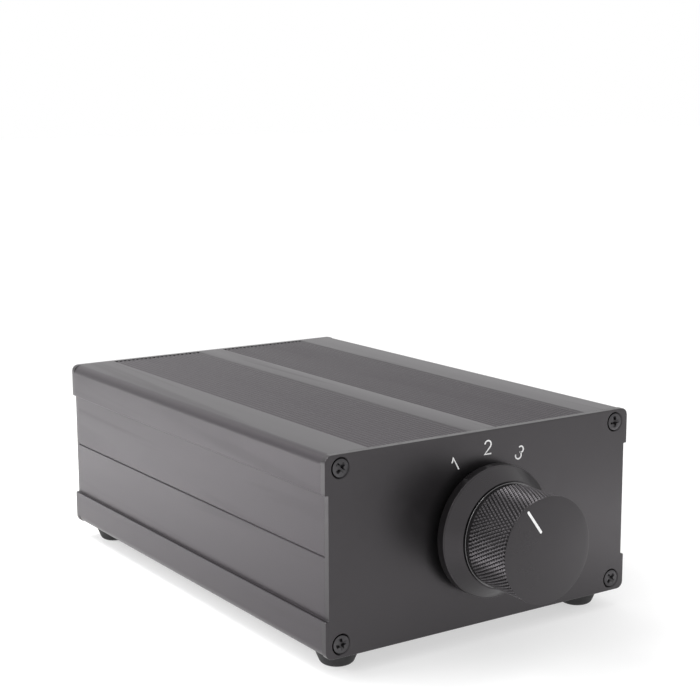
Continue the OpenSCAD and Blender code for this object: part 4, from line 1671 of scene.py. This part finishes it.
@dataclass(frozen=True)
class Arc:
    """Part of a circle in a figure's stroke, in heights of the figure.

    Attributes:
        x: Centre across the figure.
        y: Centre above its foot.
        radius: The circle's radius.
        start: Angle of its first point, in degrees.
        end: Angle of its last point, in degrees.
    """

    x: float
    y: float
    radius: float
    start: float
    end: float

    def points(self, steps: int = 18) -> list[Vector]:
        """Points along the arc."""
        angles = [math.radians(self.start + (self.end - self.start) * i / steps) for i in range(steps + 1)]
        return [
            Vector((self.x + self.radius * math.cos(angle), self.y + self.radius * math.sin(angle), 0.0))
            for angle in angles
        ]


Stroke = Sequence[Arc | tuple[float, float]]


@dataclass
class Numerals:
    """The white position numbers round the knob, printed as plain strokes."""

    FIGURES: ClassVar[dict[int, tuple[Stroke, ...]]] = {
        1: ([(-0.20, 0.70), (-0.05, 0.80), (0.06, 0.95), (0.06, 0.0)],),
        2: ([Arc(0.0, 0.69, 0.26, 172, -42), (-0.27, 0.05), (0.29, 0.05)],),
        3: ([Arc(-0.01, 0.735, 0.215, 165, -85)], [Arc(0.0, 0.295, 0.245, 95, -168)]),
    }

    centre_x: float = 0.45 * MM
    radius: float = 21.45 * MM
    height: float = 3.95 * MM
    stroke_w: float = 0.4 * MM
    thickness: float = 0.02 * MM
    sharpest: float = 0.6
    step: float = POSITION_STEP
    top_number: int = 2

    def build(self) -> None:
        """Builds and dresses the numbers 1 to 3."""
        for number, strokes in self.FIGURES.items():
            turn = (self.top_number - number) * self.step
            place = (
                Facing.FRONT.at(self.centre_x, FRONT_Y, MID_Z)
                @ Matrix.Rotation(turn, 4, "Z")
                @ Matrix.Translation((0.0, self.radius - self.height / 2, 0.0))
            )
            bm = bmesh.new()
            for stroke in strokes:
                self.paint(bm, [spot * self.height for spot in self.path(stroke)])
            bmesh.ops.transform(bm, matrix=place, verts=bm.verts[:])
            piece(f"position_numeral_{number}", bm, Body.CASE, WHITE_PAINT, even=False)

    @staticmethod
    def path(stroke: Stroke) -> list[Vector]:
        """The points of a stroke, in heights of the figure."""
        spots: list[Vector] = []
        for part in stroke:
            spots += part.points() if isinstance(part, Arc) else [Vector((*part, 0.0))]
        return spots

    def paint(self, bm: BMesh, path: Sequence[Vector]) -> None:
        """Lays a stroke of even width along a path, as a thin solid.

        Args:
            bm: The mesh to draw in.
            path: The middle of the stroke.
        """
        rails = []
        for i, spot in enumerate(path):
            before = (spot - path[i - 1]).normalized() if i else (path[1] - spot).normalized()
            after = (path[i + 1] - spot).normalized() if i + 1 < len(path) else before
            along = (before + after).normalized()
            half_w = self.stroke_w / 2 / max(before.dot(along), self.sharpest)
            side = Vector((-along.y, along.x, 0.0)) * half_w
            rails.append((bm.verts.new(spot + side), bm.verts.new(spot - side)))
        faces = [bm.faces.new((a, b, d, c)) for (a, b), (c, d) in zip(rails, rails[1:])]
        extruded(bm, faces, self.thickness)


@dataclass
class PhonoSockets:
    """The stacked phono sockets on the rear panel.

    Stations are distances behind the rear panel's face.
    """

    COLUMN_NODES: ClassVar[tuple[str, ...]] = (
        "jack_block_out", "jack_block_in_1", "jack_block_in_2", "jack_block_in_3",
    )

    pitch: float = 15 * MM
    shell_r: float = 4.15 * MM
    shell_bore_r: float = 3.55 * MM
    shell_root_r: float = 3.95 * MM
    shell_reach: float = 9 * MM
    shell_root: float = -3.98 * MM
    lip_soft: float = 0.22 * MM
    collar_r: float = 4.9 * MM
    collar_reach: float = 1.5 * MM
    core_r: float = 3.53 * MM
    core_end: float = 6.5 * MM
    core_base: float = -6 * MM
    core_floor: float = -4 * MM
    core_soft: float = 0.3 * MM
    slot_r: float = 3.97 * MM
    contact_r: float = 2 * MM
    contact_bore_r: float = 1.65 * MM
    contact_floor: float = -4.5 * MM
    contact_base: float = -5.5 * MM
    contact_soft: float = 0.12 * MM
    tail_r: float = 0.6 * MM
    tail_end: float = -7 * MM
    seat_gap: float = 0.02 * MM

    @classmethod
    def columns(cls) -> list[float]:
        """The place of each column of sockets across the panel."""
        boxes = [solid_box(node) for node in cls.COLUMN_NODES]
        return [(low.x + high.x) / 2 for low, high in boxes]

    @classmethod
    def rows(cls) -> tuple[float, float]:
        """Height of the lower and the upper row."""
        return MID_Z - cls.pitch / 2, MID_Z + cls.pitch / 2

    def build(self) -> None:
        """Builds and dresses the shells, cores and contacts."""
        lower, upper = self.rows()
        red = [Facing.REAR.at(x, REAR_Y, lower) for x in self.columns()]
        white = [Facing.REAR.at(x, REAR_Y, upper) for x in self.columns()]
        for name, shape, places, finish, node in (
            ("socket_shells", self.shell(), red + white, GOLD, "jack_shells"),
            ("socket_contacts", self.contact(), red + white, GOLD, "jack_contacts"),
            ("red_socket_cores", self.core(), red, RED_PLASTIC, "jack_cores_red"),
            ("white_socket_cores", self.core(), white, WHITE_PLASTIC, "jack_cores_white"),
        ):
            piece(name, repeated(shape, places), Body.CASE, finish, [node])

    def shell(self) -> BMesh:
        """The metal shell that a plug slides over."""
        shoulder = self.collar_reach + self.seat_gap
        return turned(
            [
                Corner(self.shell_root_r, self.shell_root),
                Corner(self.shell_root_r, shoulder),
                Corner(self.shell_r, shoulder, self.seat_gap),
                Corner(self.shell_r, self.shell_reach, self.lip_soft),
                Corner(self.shell_bore_r, self.shell_reach, self.lip_soft),
                Corner(self.shell_bore_r, self.shell_root),
            ],
            closed=True,
        )

    def core(self) -> BMesh:
        """The insulator: a collar outside the shell and a core inside it."""
        bore_r = self.contact_r + self.seat_gap
        return turned(
            [
                Corner(bore_r, self.core_base),
                Corner(self.collar_r, self.core_base),
                Corner(self.collar_r, self.collar_reach, self.core_soft),
                Corner(self.slot_r, self.collar_reach, self.contact_soft),
                Corner(self.slot_r, self.core_floor),
                Corner(self.core_r, self.core_floor),
                Corner(self.core_r, self.core_end, self.core_soft),
                Corner(bore_r, self.core_end, self.contact_soft),
            ],
            closed=True,
        )

    def contact(self) -> BMesh:
        """The sprung centre contact with its tail."""
        return turned(
            [
                Corner(0.0, self.tail_end),
                Corner(self.tail_r, self.tail_end, self.contact_soft),
                Corner(self.tail_r, self.contact_base),
                Corner(self.contact_r, self.contact_base),
                Corner(self.contact_r, self.core_end, self.contact_soft),
                Corner(self.contact_bore_r, self.core_end, self.contact_soft),
                Corner(self.contact_bore_r, self.contact_floor),
                Corner(0.0, self.contact_floor),
            ],
        )


@dataclass
class InnerWorks:
    """The solids inside the case, which keep their shape and get a finish."""

    def build(self) -> None:
        """Dresses every solid that no piece stands for."""
        self.dress(BOARD, "main_board", "switch_board")
        self.dress(BLACK_PLASTIC, *PhonoSockets.COLUMN_NODES, "link_header")
        self.dress(GREY_PLASTIC, "switch_housing")
        self.dress(GOLD, "link_pins", "wipers")
        self.dress(BRASS, "switch_bushing")
        self.dress(NYLON, "detent_wheel")
        self.dress(LAMINATE, "stator", "rotor")
        self.dress(SCREW_BLACK, "grub_screw")
        self.dress(
            STEEL, "jack_pins", "lock_washer", "bushing_nut", "switch_rivets", "stator_terminals",
            "detent_spring", "shaft", "shaft_clip",
        )

    def dress(self, finish: Finish, *nodes: str) -> None:
        """Gives solids a finish.

        Args:
            finish: The finish.
            *nodes: Names of the solids.
        """
        for node in nodes:
            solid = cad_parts[node]
            for slot in solid.material_slots:
                slot.material = finish.material()
            if not solid.material_slots:
                solid.data.materials.append(finish.material())
            log.info("%s: %s", node, finish.name)


@dataclass(frozen=True)
class SoftBox:
    """A square soft lamp with a narrowed beam, for the reflections in the black faces.

    Attributes:
        name: The lamp's name.
        place: Where its middle stands.
        aim: The point that it faces.
        size: Its width and height.
        watts: Its power.
        spread: The angle of its beam.
    """

    name: str
    place: Point
    aim: Point
    size: float
    watts: float
    spread: float

    def build(self) -> None:
        """Adds the lamp."""
        lamp = bpy.data.lights.new(self.name, "AREA")
        lamp.shape = "SQUARE"
        lamp.size = self.size
        lamp.energy = self.watts
        lamp.spread = self.spread
        holder = in_scene(self.name, lamp)
        holder.location = self.place
        holder.rotation_euler = (Vector(self.aim) - Vector(self.place)).to_track_quat("-Z", "Y").to_euler()


KNOB_SPOT = (0.0, -0.08, 0.03)
LAMPS = (
    SoftBox(
        "left_soft_box", place=(-0.25, 0.2, 0.45), aim=(-0.25, 0.2, 0.0),
        size=0.25, watts=1.75, spread=math.radians(70),
    ),
    SoftBox(
        "high_left_soft_box", place=(-0.7, 0.25, 0.6), aim=KNOB_SPOT,
        size=0.4, watts=0.20, spread=math.radians(40),
    ),
    SoftBox(
        "far_left_soft_box", place=(-0.8, 0.05, 0.6), aim=KNOB_SPOT,
        size=0.6, watts=0.16, spread=math.radians(40),
    ),
    SoftBox(
        "high_rear_soft_box", place=(-0.4, 0.4, 0.84), aim=KNOB_SPOT,
        size=0.4, watts=0.18, spread=math.radians(40),
    ),
    SoftBox(
        "right_soft_box", place=(0.12, -0.1, 0.3), aim=(0.12, -0.12, 0.0),
        size=0.06, watts=0.056, spread=math.radians(25),
    ),
)


@dataclass
class Studio:
    """The pale floor, soft light and camera."""

    floor_half: float = 4.0
    floor_drop: float = 0.1 * MM
    floor_glow: float = 0.56
    sky: Colour = (1.0, 1.0, 1.0)
    sky_strength: float = 1.0
    camera_place: Point = (-0.24143, -0.36309, 0.14403)
    camera_azimuth: float = math.radians(33.88)
    camera_dip: float = math.radians(9.81)
    camera_roll: float = math.radians(-0.19)
    lens_mm: float = 77.36
    sensor_mm: float = 36.0
    clip_start: float = 0.01

    def build(self) -> None:
        """Adds everything round the object."""
        self.floor()
        self.light()
        self.camera()

    def floor(self) -> None:
        """Adds the floor just under the feet."""
        bm = bmesh.new()
        bmesh.ops.create_grid(
            bm, x_segments=2, y_segments=2, size=self.floor_half,
            matrix=Matrix.Translation((0.0, 0.0, -self.floor_drop)),
        )
        mesh = as_mesh("studio_floor", bm)
        paper = FLOOR_PAPER.material()
        surface = paper.node_tree.nodes[SHADER_NAME]
        surface.inputs["Emission Color"].default_value = (*self.sky, 1.0)
        surface.inputs["Emission Strength"].default_value = self.floor_glow
        mesh.materials.append(paper)
        ground = in_scene("studio_floor", mesh)

    def light(self) -> None:
        """Adds the white surround and the lamps."""
        scene = bpy.context.scene
        scene.view_settings.view_transform = "Standard"
        world = bpy.data.worlds.new("white_surround")
        world.use_nodes = True
        surround = world.node_tree.nodes["Background"]
        surround.inputs["Color"].default_value = (*self.sky, 1.0)
        surround.inputs["Strength"].default_value = self.sky_strength
        scene.world = world
        for lamp in LAMPS:
            lamp.build()

    def camera(self) -> None:
        """Adds the camera at the photograph's viewing angle."""
        lens = bpy.data.cameras.new("photo_camera")
        lens.sensor_width = self.sensor_mm
        lens.lens = self.lens_mm
        lens.clip_start = self.clip_start
        holder = in_scene("photo_camera", lens)
        ahead = Vector(
            (
                math.sin(self.camera_azimuth) * math.cos(self.camera_dip),
                math.cos(self.camera_azimuth) * math.cos(self.camera_dip),
                -math.sin(self.camera_dip),
            )
        )
        turn = ahead.to_track_quat("-Z", "Y").to_matrix().to_4x4()
        roll = Matrix.Rotation(self.camera_roll, 4, "Z")
        holder.matrix_world = Matrix.Translation(self.camera_place) @ turn @ roll
        bpy.context.scene.camera = holder


def main() -> None:
    """Builds the studio and every sub-assembly in order."""
    logging.basicConfig(level=logging.INFO, format="%(message)s")
    for assembly in (
        Studio(), CaseShells(), EndPanels(), Screws(), Feet(), Knob(), Numerals(), PhonoSockets(),
        InnerWorks(),
    ):
        assembly.build()
        log.info("%s done", type(assembly).__name__)


if __name__ == "__main__":
    main()
